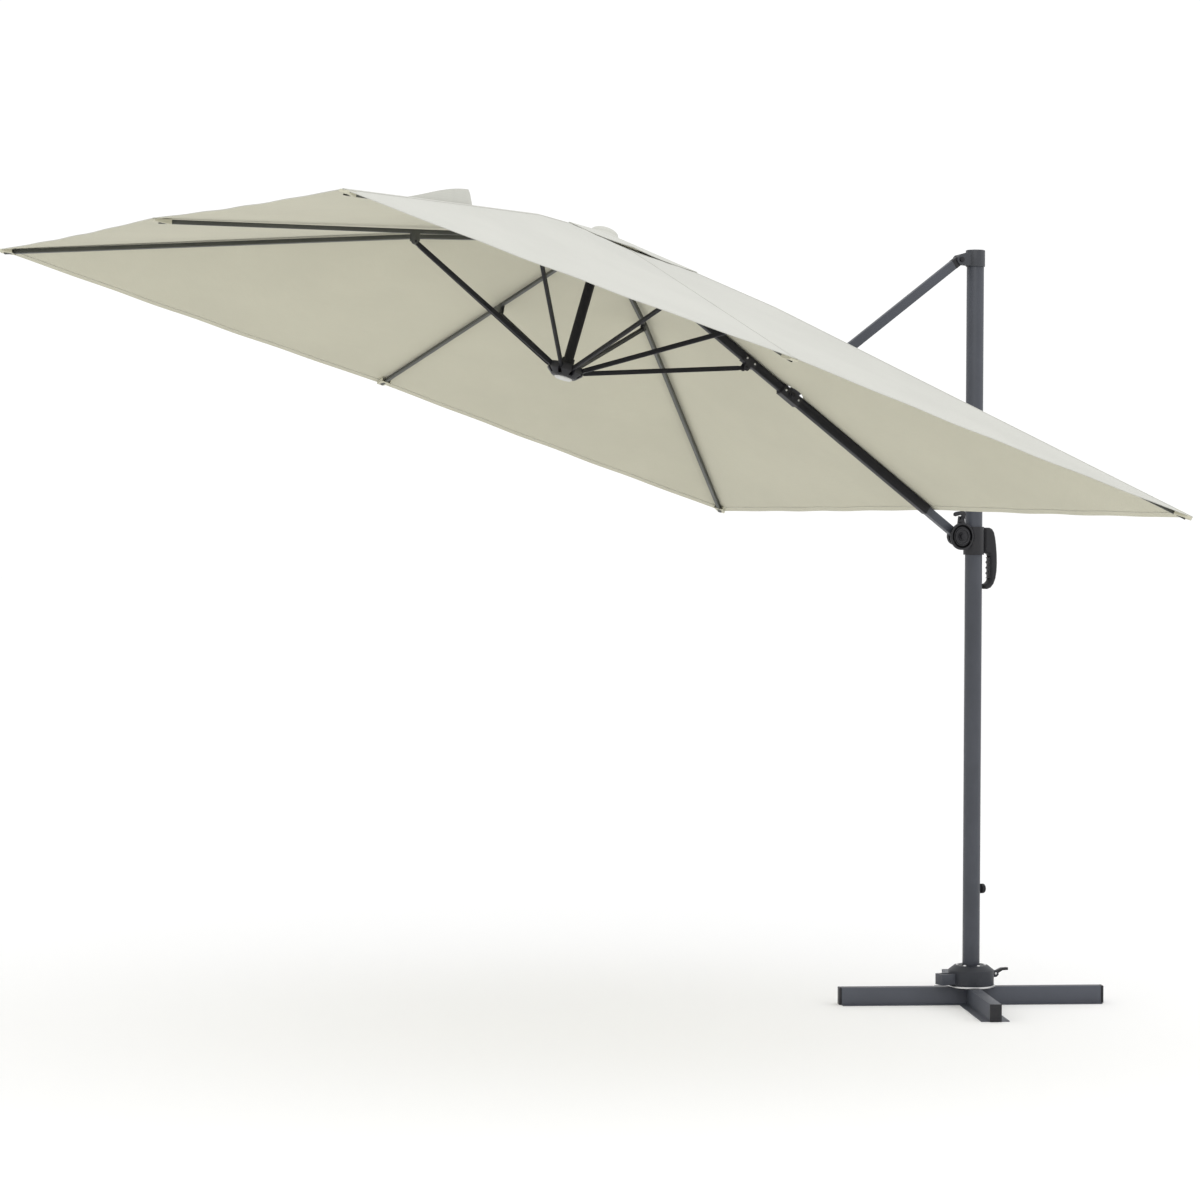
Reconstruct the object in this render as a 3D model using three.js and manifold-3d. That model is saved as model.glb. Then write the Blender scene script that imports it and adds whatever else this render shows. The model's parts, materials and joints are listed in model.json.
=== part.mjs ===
// Cantilever parasol with a square canopy, in millimetres.
// The origin is on the mast axis at floor level, +Z is up and the arm reaches out towards -X.
import * as THREE from "three";
import { mergeVertices } from "three/addons/utils/BufferGeometryUtils.js";
import Module from "manifold-3d";

const wasm = await Module();
wasm.setup();

const DEG = Math.PI / 180;
const CLEARANCE = 0.4; // between parts that touch or turn against each other

// ---------------------------------------------------------------- driving dimensions
const MAST = { radius: 30, wall: 1.6, bottom: 92, top: 2600 };
const HEAD = { wall: 3.5, overlap: 35, crown: 25, pivotDrop: 13, cheek: 6, cheekRadius: 17, dome: 2 };
const PIVOT_GAP = 36; // brace and arm pivots, from the mast's side
const BRACE = { span: 827, depth: 32, width: 20, wall: 1.5, plug: 45, fold: 54.64 * DEG };
const FORK = { reach: 74, bridge: 10, cheek: 4, radius: 14 }; // the brace's lower end, over the arm
const ARM = { pastCanopy: 201, lowerEnd: 872, telescope: 90 };
const LOWER_TUBE = { depth: 33, width: 28, wall: 1.2 };
const UPPER_TUBE = { depth: 28, width: 24, wall: 1.5 };
const SHANK = { depth: 28, width: 22, length: 157, plug: 60 }; // bar from the slider into the lower tube
const SADDLE = { wall: 3, half: 40 };
const KNUCKLE = { half: 26, sheet: 1.8, radius: 11, top: 8 };
const PIN = { radius: 5, head: 9, headHeight: 5 };
const BOLT = { radius: 6, head: 11, headHeight: 6 };

const CANOPY = { halfWidth: 1500, tilt: 17.5 * DEG, overArm: 1.5, dropMid: 480, dropCorner: 495 };
const CORNER_RISE = 24; // the corner ribs bend up by this at their strut joints
const FABRIC = { thickness: 1, gap: 1.2, ventHalf: 170, slitRoom: 8 };
const VENT = { half: 245, above: 3, gap: 2.9, thickness: 1, hole: 8 };
const FINIAL = { radius: 54, edge: 5, above: 20 };
const RIB = { depth: 14, width: 12, wall: 1, root: 40, tipInset: 22, tipDrop: 10.5, ear: 2.3, earRadius: 9 };
const STRUT = { depth: 16, width: 10, wall: 1, endDepth: 14, endLength: 26, ventHole: 4 };
const HUB = { ring: 45, radius: 64, core: 30, top: -3, height: 27, cupDepth: 15, cupWall: 4 };
const RUNNER = { drop: 455, radius: 60, base: 40, above: 14, below: 26, bowl: 18, floor: 6 };
const RUNNER_CAP = { radius: 30, height: 7 };
const SPACER = { radius: 16.5, wall: 1.5, collar: 21, collarHeight: 24 };
const ARM_KNUCKLE = 632; // strut joint on the arm, along it from the hub pivot
const CORNER_JOINT = { along: 610, under: 16.5 }; // strut joint on a corner rib

const SLIDER = { wall: 6, above: 33, below: 64, cheekShare: 0.4, cheekRadius: 30, notch: 1 };
const DISC = { radius: 47, thickness: 11, teeth: 32, toothDepth: 2.5 };
const LEVER = { thickness: 10, pivotX: 3, pivotZ: 64, lugHalf: 9 };
// The lever's outline, across and up from the slider's pivot: a pawl tip, a stem and a hooked bar.
const LEVER_OUTLINE = [
  [-11, 50], [1, 50], [9, 62], [13, 76], [10, 86], [2, 89], [-27, 85], [-34, 81], [-35, 73], [-29, 69],
  [-22, 71], [-6, 75], [-2, 71], [-4, 62],
];
const GRIP = { thickness: 34, bevel: 6 };
// The grip's outline, out from the slider's side and up from its pivot, from the top inner corner over
// the bowed back and round the lower hook.
const GRIP_OUTLINE = [
  [0.6, 30], [22, 30], [33, 25], [41, 14], [46, -4], [50, -30], [53, -62], [54, -95], [52.5, -122],
  [48, -147], [40, -166], [28, -179], [14, -184], [1, -183], [1, -168], [14, -164], [22, -157],
  [26, -147], [26, -72], [23, -63], [14, -59], [0.6, -58],
];
const TRIGGER = {
  thickness: 20, face: 19, hollow: 4, seat: 26, root: 35, travel: 4, top: -72, bottom: -148, scallops: 4,
};
const KNOB = { z: 400, radius: 17, length: 20, stud: 4 };

const LEG = { length: 457, height: 60, width: 40, wall: 3, flange: 97, flangeWall: 3, turn: -22.4 * DEG };
const END_CAP = { length: 30, proud: 9, wall: 2 };
const SWIVEL = { plate: 85, plateHeight: 6, spigot: 25, spigotWall: 4, spigotTop: 450 };
const HOUSING = { radius: 80, shoulder: 118, top: 135, neck: 58 };
const PEDAL = { x: 94, z: 100, lug: 6, width: 16, reach: 150, rod: 6.5, rise: 14 };
const LATCH = { reach: 132, width: 44, low: 72, high: 110, bar: 9 };

// ---------------------------------------------------------------- values worked out from them
const PIVOT_OFFSET = MAST.radius + PIVOT_GAP; // from the mast axis
const headRadius = MAST.radius + HEAD.wall;
const cheekWall = MAST.radius * SLIDER.cheekShare; // so the disc on the cheek clears the mast
const sliderRadius = MAST.radius + SLIDER.wall;
const armSpan = CANOPY.halfWidth + ARM.pastCanopy;
const canopyLift = LOWER_TUBE.depth / 2 + CANOPY.overArm; // of the cloth over the ring of hub pivots

// The brace meets the arm axis at its own span from the slider, so the lift's two equal links close
// exactly and the slider runs straight up the mast.
const headPivotZ = MAST.top - HEAD.pivotDrop;
const armAngle = BRACE.fold;
const sliderZ = headPivotZ - 2 * BRACE.span * Math.cos(BRACE.fold);
const armSlope = Math.PI / 2 - armAngle - CANOPY.tilt; // of the arm below the canopy plane
const hubX = -PIVOT_OFFSET - armSpan * Math.sin(armAngle);
const hubZ = sliderZ + armSpan * Math.cos(armAngle);
const hubPivotDrop = HUB.ring * Math.tan(armSlope);
const armPivotAlong = armSpan - HUB.ring / Math.cos(armSlope);

// Straight ribs leave the hub pivots and meet the canopy rim; the struts of the arm and of the
// middle ribs are as long as their pivot distance, so the runner slides exactly along the hub axis.
const jointDrop = (hubPivotDrop + RUNNER.drop) / 2;
const knuckleBelow = (jointDrop - hubPivotDrop - ARM_KNUCKLE * Math.sin(armSlope)) / Math.cos(armSlope);
const linkLength = Math.hypot(ARM_KNUCKLE, knuckleBelow);
const linkSlope = armSlope + Math.atan2(knuckleBelow, ARM_KNUCKLE);
const cornerReach = CANOPY.halfWidth * Math.SQRT2;

function ribSlope(reach, drop) {
  return Math.atan2(drop - canopyLift + RIB.tipDrop - hubPivotDrop, reach - HUB.ring);
}

const midSlope = ribSlope(CANOPY.halfWidth, CANOPY.dropMid);
const MID_RIB = {
  reach: CANOPY.halfWidth,
  slope: midSlope,
  rise: 0,
  along: linkLength * Math.cos(linkSlope - midSlope),
  below: linkLength * Math.sin(linkSlope - midSlope),
};
const CORNER_RIB = {
  reach: cornerReach,
  slope: ribSlope(cornerReach, CANOPY.dropCorner),
  rise: CORNER_RISE,
  along: CORNER_JOINT.along,
  below: CORNER_JOINT.under - CORNER_RISE,
};
const bendShare = (HUB.ring + CORNER_JOINT.along * Math.cos(CORNER_RIB.slope)) / cornerReach;
const ventShare = VENT.half / CANOPY.halfWidth;
const ventRim = canopyLift + FABRIC.thickness + VENT.gap + Math.max(
  -CANOPY.dropMid * ventShare,
  -CANOPY.dropCorner * ventShare + (CORNER_RISE * ventShare) / bendShare,
);
const ventPeak = canopyLift + VENT.above;
const finialPeak = canopyLift + FINIAL.above;
const ARM_RIB = { slope: armSlope, along: ARM_KNUCKLE, below: knuckleBelow };

// Azimuth of each rib round the hub axis, from the arm's own direction.
const RIBS = [
  { name: "mast_far", azimuth: 45, kind: CORNER_RIB },
  { name: "mid_far", azimuth: 90, kind: MID_RIB },
  { name: "outer_far", azimuth: 135, kind: CORNER_RIB },
  { name: "mid_outer", azimuth: 180, kind: MID_RIB },
  { name: "outer_near", azimuth: 225, kind: CORNER_RIB },
  { name: "mid_near", azimuth: 270, kind: MID_RIB },
  { name: "mast_near", azimuth: 315, kind: CORNER_RIB },
];

// ---------------------------------------------------------------- materials
const paint = (color, roughness, metalness = 0) =>
  new THREE.MeshStandardMaterial({ color, roughness, metalness });
const MATERIALS = {
  frame: paint(0x55585f, 0.45, 0.6),
  base: paint(0x4b4e55, 0.5, 0.6),
  plastic: paint(0x2a2b30, 0.55),
  steel: paint(0xb9bcc0, 0.3, 1),
  cap: paint(0xc9cac8, 0.5),
  fabric: paint(0xe9e8df, 0.9),
};

// ---------------------------------------------------------------- solid helpers
function solid(geometry) {
  const bare = geometry.clone();
  bare.deleteAttribute("normal");
  bare.deleteAttribute("uv");
  const merged = mergeVertices(bare, 1e-4);
  return new wasm.Manifold(
    new wasm.Mesh({
      numProp: 3,
      vertProperties: new Float32Array(merged.attributes.position.array),
      triVerts: new Uint32Array(merged.index.array),
    }),
  );
}

function geometryOf(body) {
  const mesh = body.getMesh();
  const geometry = new THREE.BufferGeometry();
  geometry.setAttribute("position", new THREE.BufferAttribute(mesh.vertProperties, 3));
  geometry.setIndex(new THREE.BufferAttribute(mesh.triVerts, 1));
  geometry.computeVertexNormals();
  return geometry;
}

const join = (...parts) => geometryOf(parts.map(solid).reduce((a, b) => a.add(b)));
const cut = (part, ...tools) => geometryOf(tools.map(solid).reduce((a, b) => a.subtract(b), solid(part)));

// A box between two corners.
function box(x0, x1, y0, y1, z0, z1) {
  return new THREE.BoxGeometry(x1 - x0, y1 - y0, z1 - z0).translate(
    (x0 + x1) / 2,
    (y0 + y1) / 2,
    (z0 + z1) / 2,
  );
}

// A round bar along Z, or along Y or X through a point.
function barZ(radius, z0, z1, sides = 32) {
  return new THREE.CylinderGeometry(radius, radius, z1 - z0, sides)
    .rotateX(Math.PI / 2)
    .translate(0, 0, (z0 + z1) / 2);
}
function barY(radius, y0, y1, x = 0, z = 0, sides = 24) {
  return new THREE.CylinderGeometry(radius, radius, y1 - y0, sides).translate(x, (y0 + y1) / 2, z);
}
function barX(radius, x0, x1, z = 0, sides = 24) {
  return new THREE.CylinderGeometry(radius, radius, x1 - x0, sides)
    .rotateZ(Math.PI / 2)
    .translate((x0 + x1) / 2, 0, z);
}

// A body turned about Z from [radius, height] points.
function turned(points, sides = 40) {
  const profile = points.map(([r, z]) => new THREE.Vector2(r, z));
  return new THREE.LatheGeometry(profile, sides).rotateX(Math.PI / 2);
}
const tube = (outer, inner, z0, z1, sides) =>
  turned([[inner, z0], [outer, z0], [outer, z1], [inner, z1], [inner, z0]], sides);

function roundedRect(path, depth, width, radius) {
  const x = depth / 2;
  const y = width / 2;
  path.moveTo(-x + radius, -y);
  path.lineTo(x - radius, -y);
  path.absarc(x - radius, -y + radius, radius, -Math.PI / 2, 0);
  path.absarc(x - radius, y - radius, radius, 0, Math.PI / 2);
  path.absarc(-x + radius, y - radius, radius, Math.PI / 2, Math.PI);
  path.absarc(-x + radius, -y + radius, radius, Math.PI, 1.5 * Math.PI);
  return path;
}

// A rectangular tube along Z, depth along X and width along Y.
function boxTube({ depth, width, wall }, z0, z1) {
  const corner = 3;
  const section = roundedRect(new THREE.Shape(), depth, width, corner);
  section.holes.push(
    roundedRect(new THREE.Path(), depth - 2 * wall, width - 2 * wall, corner - wall),
  );
  const shape = { depth: z1 - z0, bevelEnabled: false, curveSegments: 2 };
  return new THREE.ExtrudeGeometry(section, shape).translate(0, 0, z0);
}

// A plate in the XZ plane from [x, z] points, between two Y values.
function plate(points, y0, y1, bevel = 0) {
  const outline = new THREE.Shape(points.map(([x, z]) => new THREE.Vector2(x, z)));
  const shape = {
    depth: y1 - y0 - 2 * bevel,
    bevelEnabled: bevel > 0,
    bevelSize: bevel,
    bevelThickness: bevel,
    bevelOffset: -bevel,
    bevelSegments: 1,
    curveSegments: 4,
  };
  return new THREE.ExtrudeGeometry(outline, shape).rotateX(Math.PI / 2).translate(0, y1 - bevel, 0);
}

function bothSides(make) {
  return [make(1), make(-1)];
}
const cheekPlate = (side, inner, thickness) =>
  side > 0 ? [inner, inner + thickness] : [-inner - thickness, -inner];

const parasol = new THREE.Group();

function place(parent, name, geometry, material) {
  const mesh = new THREE.Mesh(geometry, material);
  mesh.name = name;
  parent.add(mesh);
  return mesh;
}

function frameAt(parent, x, z, turnY) {
  const group = new THREE.Group();
  group.position.set(x, 0, z);
  group.rotation.y = turnY;
  parent.add(group);
  return group;
}

// ---------------------------------------------------------------- base
// One long leg runs through the centre and two short legs butt against its sides.
function legRail(x0, x1) {
  const { width, height, wall, flange, flangeWall } = LEG;
  const outer = box(x0, x1, -width / 2, width / 2, 0, height);
  const foot = box(x0, x1, -flange / 2, flange / 2, 0, flangeWall);
  const inside = box(x0 - 1, x1 + 1, -width / 2 + wall, width / 2 - wall, flangeWall, height - wall);
  return cut(join(outer, foot), inside);
}

function legCap() {
  const { width, height, wall, flangeWall } = LEG;
  const side = width / 2 - wall - CLEARANCE;
  const low = flangeWall + CLEARANCE;
  const high = height - wall - CLEARANCE;
  const plug = box(-END_CAP.length, 1, -side, side, low, high);
  const hollow = box(-END_CAP.length - 1, 0, -side + END_CAP.wall, side - END_CAP.wall,
    low + END_CAP.wall, high - END_CAP.wall);
  const cover = box(CLEARANCE, END_CAP.proud, -width / 2, width / 2, CLEARANCE, height);
  return cut(join(plug, cover), hollow);
}

function buildBase() {
  const legs = new THREE.Group();
  legs.rotation.z = LEG.turn;
  parasol.add(legs);
  place(legs, "leg_long", legRail(-LEG.length, LEG.length), MATERIALS.base);
  const start = LEG.flange / 2 + CLEARANCE;
  const tongueSide = LEG.width / 2 - LEG.wall - CLEARANCE;
  [["leg_near", -90], ["leg_far", 90]].forEach(([name, turn]) => {
    const leg = new THREE.Group();
    leg.rotation.z = turn * DEG;
    legs.add(leg);
    // The box runs on over the long leg's flange up to its side wall.
    const toWall = box(LEG.width / 2 + CLEARANCE, start + 1, -LEG.width / 2, LEG.width / 2,
      LEG.flangeWall + CLEARANCE, LEG.height);
    const inside = box(0, start + 2, -tongueSide, tongueSide, LEG.flangeWall + 2, LEG.height - LEG.wall);
    place(leg, name, cut(join(legRail(start, LEG.length), toWall), inside), MATERIALS.base);
  });
  [["end_cap_right", 0], ["end_cap_far", 90], ["end_cap_left", 180], ["end_cap_near", 270]].forEach(
    ([name, turn]) => {
      const end = new THREE.Group();
      end.rotation.z = turn * DEG;
      legs.add(end);
      place(end, name, legCap().translate(LEG.length, 0, 0), MATERIALS.plastic);
    },
  );

  const plateBottom = LEG.height + CLEARANCE;
  const plateTop = plateBottom + SWIVEL.plateHeight;
  const spigotInner = SWIVEL.spigot - SWIVEL.spigotWall;
  place(parasol, "swivel_plate", turned([
    [spigotInner, plateBottom], [SWIVEL.plate, plateBottom], [SWIVEL.plate, plateTop],
    [SWIVEL.spigot, plateTop], [SWIVEL.spigot, SWIVEL.spigotTop],
    [spigotInner, SWIVEL.spigotTop], [spigotInner, plateBottom],
  ]), MATERIALS.steel);

  const low = plateTop + CLEARANCE;
  const bore = SWIVEL.spigot + CLEARANCE;
  const seat = MAST.radius + CLEARANCE;
  const body = turned([
    [bore, low], [HOUSING.radius, low], [HOUSING.radius, HOUSING.shoulder],
    [HOUSING.neck, HOUSING.top], [seat, HOUSING.top], [seat, MAST.bottom], [bore, MAST.bottom], [bore, low],
  ]);
  const lugs = bothSides((side) => {
    const [y0, y1] = cheekPlate(side, PEDAL.width / 2 + CLEARANCE, PEDAL.lug);
    return join(
      box(HOUSING.radius - 8, PEDAL.x, y0, y1, PEDAL.z - 12, PEDAL.z + 12),
      barY(12, y0, y1, PEDAL.x, PEDAL.z),
    );
  });
  place(parasol, "swivel_housing", join(body, ...lugs), MATERIALS.base);

  // The pedal's rod climbs away from its hinge block to a tread pad.
  const half = PEDAL.width / 2;
  const block = join(
    barY(10, -half, half, PEDAL.x, PEDAL.z),
    box(PEDAL.x, PEDAL.x + 16, -half, half, PEDAL.z - 7, PEDAL.z + 10),
  );
  const tread = plate([
    [PEDAL.x + 8, PEDAL.z - 3], [PEDAL.reach - 22, PEDAL.z - 5 + PEDAL.rise],
    [PEDAL.reach, PEDAL.z - 5 + PEDAL.rise], [PEDAL.reach, PEDAL.z + 4 + PEDAL.rise],
    [PEDAL.reach - 24, PEDAL.z + 4 + PEDAL.rise], [PEDAL.x + 8, PEDAL.z + 9],
  ], -PEDAL.rod, PEDAL.rod);
  place(parasol, "foot_pedal", join(block, tread), MATERIALS.plastic);

  // A U-shaped latch bracket stands on the other side of the housing.
  const inner = LATCH.width / 2 - LATCH.bar;
  const hoop = box(-LATCH.reach, -HOUSING.radius + 20, -LATCH.width / 2, LATCH.width / 2, LATCH.low, LATCH.high);
  const window = box(-LATCH.reach + LATCH.bar, 0, -inner, inner, LATCH.low - 1, LATCH.high + 1);
  const housingRoom = barZ(HOUSING.radius + CLEARANCE, LATCH.low - 2, LATCH.high + 2, 40);
  const bridge = box(-HOUSING.radius - 8, -HOUSING.radius + 15, -inner - 1, inner + 1, LATCH.low, LATCH.low + 12);
  const loop = join(cut(hoop, window), bridge);
  place(parasol, "latch_bracket", cut(loop, housingRoom), MATERIALS.frame);
}

// ---------------------------------------------------------------- mast
function buildMast() {
  const inner = MAST.radius - MAST.wall;
  const shell = tube(MAST.radius, inner, MAST.bottom + CLEARANCE, MAST.top, 40);
  const studHole = barX(KNOB.stud + CLEARANCE, 0, MAST.radius + 5, KNOB.z, 16);
  place(parasol, "mast_tube", cut(shell, studHole), MATERIALS.frame);

  const hoodBottom = MAST.top - HEAD.overlap;
  const hoodTop = MAST.top + HEAD.crown;
  const hood = turned([
    [0, hoodBottom], [headRadius, hoodBottom], [headRadius, hoodTop - 2 * HEAD.dome],
    [headRadius * 0.85, hoodTop - HEAD.dome], [0, hoodTop],
  ]);
  const cheeks = bothSides((side) => {
    const [y0, y1] = cheekPlate(side, BRACE.width / 2 + CLEARANCE, HEAD.cheek);
    const end = HEAD.cheekRadius;
    return join(
      plate([
        [-PIVOT_OFFSET, headPivotZ - end], [-10, hoodBottom + HEAD.dome], [-10, hoodTop - 3 * HEAD.dome],
        [-PIVOT_OFFSET, headPivotZ + end],
      ], y0, y1),
      barY(end, y0, y1, -PIVOT_OFFSET, headPivotZ, 32),
    );
  });
  const bore = barZ(MAST.radius + CLEARANCE, hoodBottom - 30, MAST.top + CLEARANCE, 40);
  const pinHole = barY(PIN.radius + CLEARANCE, -60, 60, -PIVOT_OFFSET, headPivotZ);
  place(parasol, "mast_head", cut(join(hood, ...cheeks), bore, pinHole), MATERIALS.plastic);

  const outside = MAST.radius + CLEARANCE;
  const stud = barX(KNOB.stud, MAST.radius - MAST.wall - 1, outside + 2, KNOB.z, 16);
  const grip = barX(KNOB.radius, outside, outside + KNOB.length, KNOB.z, 20);
  place(parasol, "mast_knob", join(grip, stud), MATERIALS.plastic);
}

// A pin along Y with a head at one end and a riveted washer at the other.
function headedPin(radius, head, headHeight, y0, y1, x, z) {
  return join(
    barY(radius, y0 - 1, y1 + 1, x, z),
    barY(head, y0 - headHeight, y0, x, z),
    barY(head, y1, y1 + headHeight, x, z),
  );
}

// ---------------------------------------------------------------- brace
function buildBrace() {
  const brace = frameAt(parasol, -PIVOT_OFFSET, headPivotZ, BRACE.fold);
  const { span, depth, width, wall } = BRACE;
  const eye = depth / 2;
  const tubeTop = -depth;
  const tubeBottom = -span + FORK.reach + FORK.bridge;
  place(brace, "brace_tube", boxTube(BRACE, tubeBottom, tubeTop), MATERIALS.frame);

  const plugX = eye - wall - 2 * CLEARANCE;
  const plugY = width / 2 - wall - 2 * CLEARANCE;
  const plug = (z0, z1) => box(-plugX, plugX, -plugY, plugY, z0, z1);
  const hole = PIN.radius + CLEARANCE;
  place(brace, "brace_end_upper", cut(
    join(
      plug(tubeTop - BRACE.plug, tubeTop + 1),
      box(-eye, eye, -width / 2, width / 2, tubeTop + CLEARANCE, 0),
      barY(eye, -width / 2, width / 2),
    ),
    barY(hole, -width, width),
  ), MATERIALS.plastic);

  // The lower end is a fork whose cheeks lie outside the arm's saddle.
  const inside = LOWER_TUBE.width / 2 + SADDLE.wall + 2 * CLEARANCE;
  const outside = inside + FORK.cheek;
  const bridgeTop = tubeBottom - CLEARANCE;
  const cheeks = bothSides((side) => {
    const [y0, y1] = cheekPlate(side, inside, FORK.cheek);
    return join(
      plate([[-FORK.radius, -span], [FORK.radius, -span], [eye, bridgeTop], [-eye, bridgeTop]], y0, y1),
      barY(FORK.radius, y0, y1, 0, -span),
    );
  });
  place(brace, "brace_end_lower", cut(
    join(
      plug(bridgeTop - 1, tubeBottom + BRACE.plug),
      box(-eye, eye, -outside, outside, bridgeTop - FORK.bridge, bridgeTop),
      ...cheeks,
    ),
    barY(hole, -outside - 1, outside + 1, 0, -span),
  ), MATERIALS.plastic);

  const headOuter = width / 2 + CLEARANCE + HEAD.cheek + CLEARANCE;
  place(parasol, "head_pin",
    headedPin(PIN.radius, PIN.head, PIN.headHeight, -headOuter, headOuter, -PIVOT_OFFSET, headPivotZ),
    MATERIALS.steel);
  return { frame: brace, forkOutside: outside };
}

// ---------------------------------------------------------------- arm
// Along the arm's own +Z from the slider pivot to the hub; its upper side faces +X.
function buildArm(forkOutside) {
  const arm = frameAt(parasol, -PIVOT_OFFSET, sliderZ, -armAngle);
  const eye = SHANK.depth / 2;
  const half = SHANK.width / 2;
  const plugX = LOWER_TUBE.depth / 2 - LOWER_TUBE.wall - 2 * CLEARANCE;
  const plugY = LOWER_TUBE.width / 2 - LOWER_TUBE.wall - 2 * CLEARANCE;
  place(arm, "arm_sleeve", cut(
    join(
      box(-eye, eye, -half, half, 0, SHANK.length + 1),
      barY(eye, -half, half, 0, 0, 32),
      box(-plugX, plugX, -plugY, plugY, SHANK.length, SHANK.length + SHANK.plug),
    ),
    barY(BOLT.radius + CLEARANCE, -SHANK.width, SHANK.width),
  ), MATERIALS.frame);

  const pinHole = barY(PIN.radius + CLEARANCE, -60, 60, 0, BRACE.span);
  const lower = boxTube(LOWER_TUBE, SHANK.length + CLEARANCE, ARM.lowerEnd);
  place(arm, "arm_tube_lower", cut(lower, pinHole), MATERIALS.frame);
  const upperEnd = armPivotAlong - RIB.root;
  const upper = boxTube(UPPER_TUBE, ARM.lowerEnd - ARM.telescope, upperEnd);
  place(arm, "arm_tube_upper", cut(upper, pinHole), MATERIALS.frame);

  // The tip plugs into the upper tube and turns in the hub's slot.
  const tipX = UPPER_TUBE.depth / 2 - UPPER_TUBE.wall - 2 * CLEARANCE;
  const tipY = UPPER_TUBE.width / 2 - UPPER_TUBE.wall - 2 * CLEARANCE;
  const ribHalf = RIB.width / 2;
  place(arm, "arm_tip", join(
    box(-tipX, tipX, -tipY, tipY, upperEnd - RIB.root, upperEnd + 2),
    box(-RIB.depth / 2, RIB.depth / 2, -ribHalf, ribHalf, upperEnd, armPivotAlong),
    barY(RIB.depth / 2, -ribHalf, ribHalf, 0, armPivotAlong),
  ), MATERIALS.plastic);

  // A saddle under the lower tube stiffens it where the brace's pin goes through.
  const tubeX = LOWER_TUBE.depth / 2 + CLEARANCE;
  const tubeY = LOWER_TUBE.width / 2 + CLEARANCE;
  const { wall } = SADDLE;
  const saddle = box(-tubeX - wall, tubeX - 2, -tubeY - wall, tubeY + wall,
    BRACE.span - SADDLE.half, BRACE.span + SADDLE.half);
  const tunnel = box(-tubeX, tubeX + 1, -tubeY, tubeY,
    BRACE.span - SADDLE.half - 1, BRACE.span + SADDLE.half + 1);
  place(arm, "brace_saddle", cut(saddle, tunnel, pinHole), MATERIALS.plastic);
  const pinEnd = forkOutside + CLEARANCE;
  place(arm, "brace_pin",
    headedPin(PIN.radius, PIN.head, PIN.headHeight, -pinEnd, pinEnd, 0, BRACE.span),
    MATERIALS.steel);

  // The knuckle bracket hangs under the upper tube and holds the arm's own strut.
  const knuckle = armPivotAlong - ARM_KNUCKLE;
  const upperX = UPPER_TUBE.depth / 2 + CLEARANCE;
  const upperY = UPPER_TUBE.width / 2 + CLEARANCE;
  const ends = [knuckle - KNUCKLE.half, knuckle + KNUCKLE.half];
  const sides = bothSides((side) => {
    const [y0, y1] = cheekPlate(side, upperY, KNUCKLE.sheet);
    return join(
      box(-upperX - KNUCKLE.sheet, KNUCKLE.top, y0, y1, ...ends),
      box(-knuckleBelow, -upperX, y0, y1, knuckle - KNUCKLE.radius, knuckle + KNUCKLE.radius),
      barY(KNUCKLE.radius, y0, y1, -knuckleBelow, knuckle),
    );
  });
  const web = box(-upperX - KNUCKLE.sheet, -upperX, -upperY - 1, upperY + 1, ...ends);
  place(arm, "knuckle_bracket", join(web, ...sides), MATERIALS.plastic);
  return arm;
}

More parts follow.
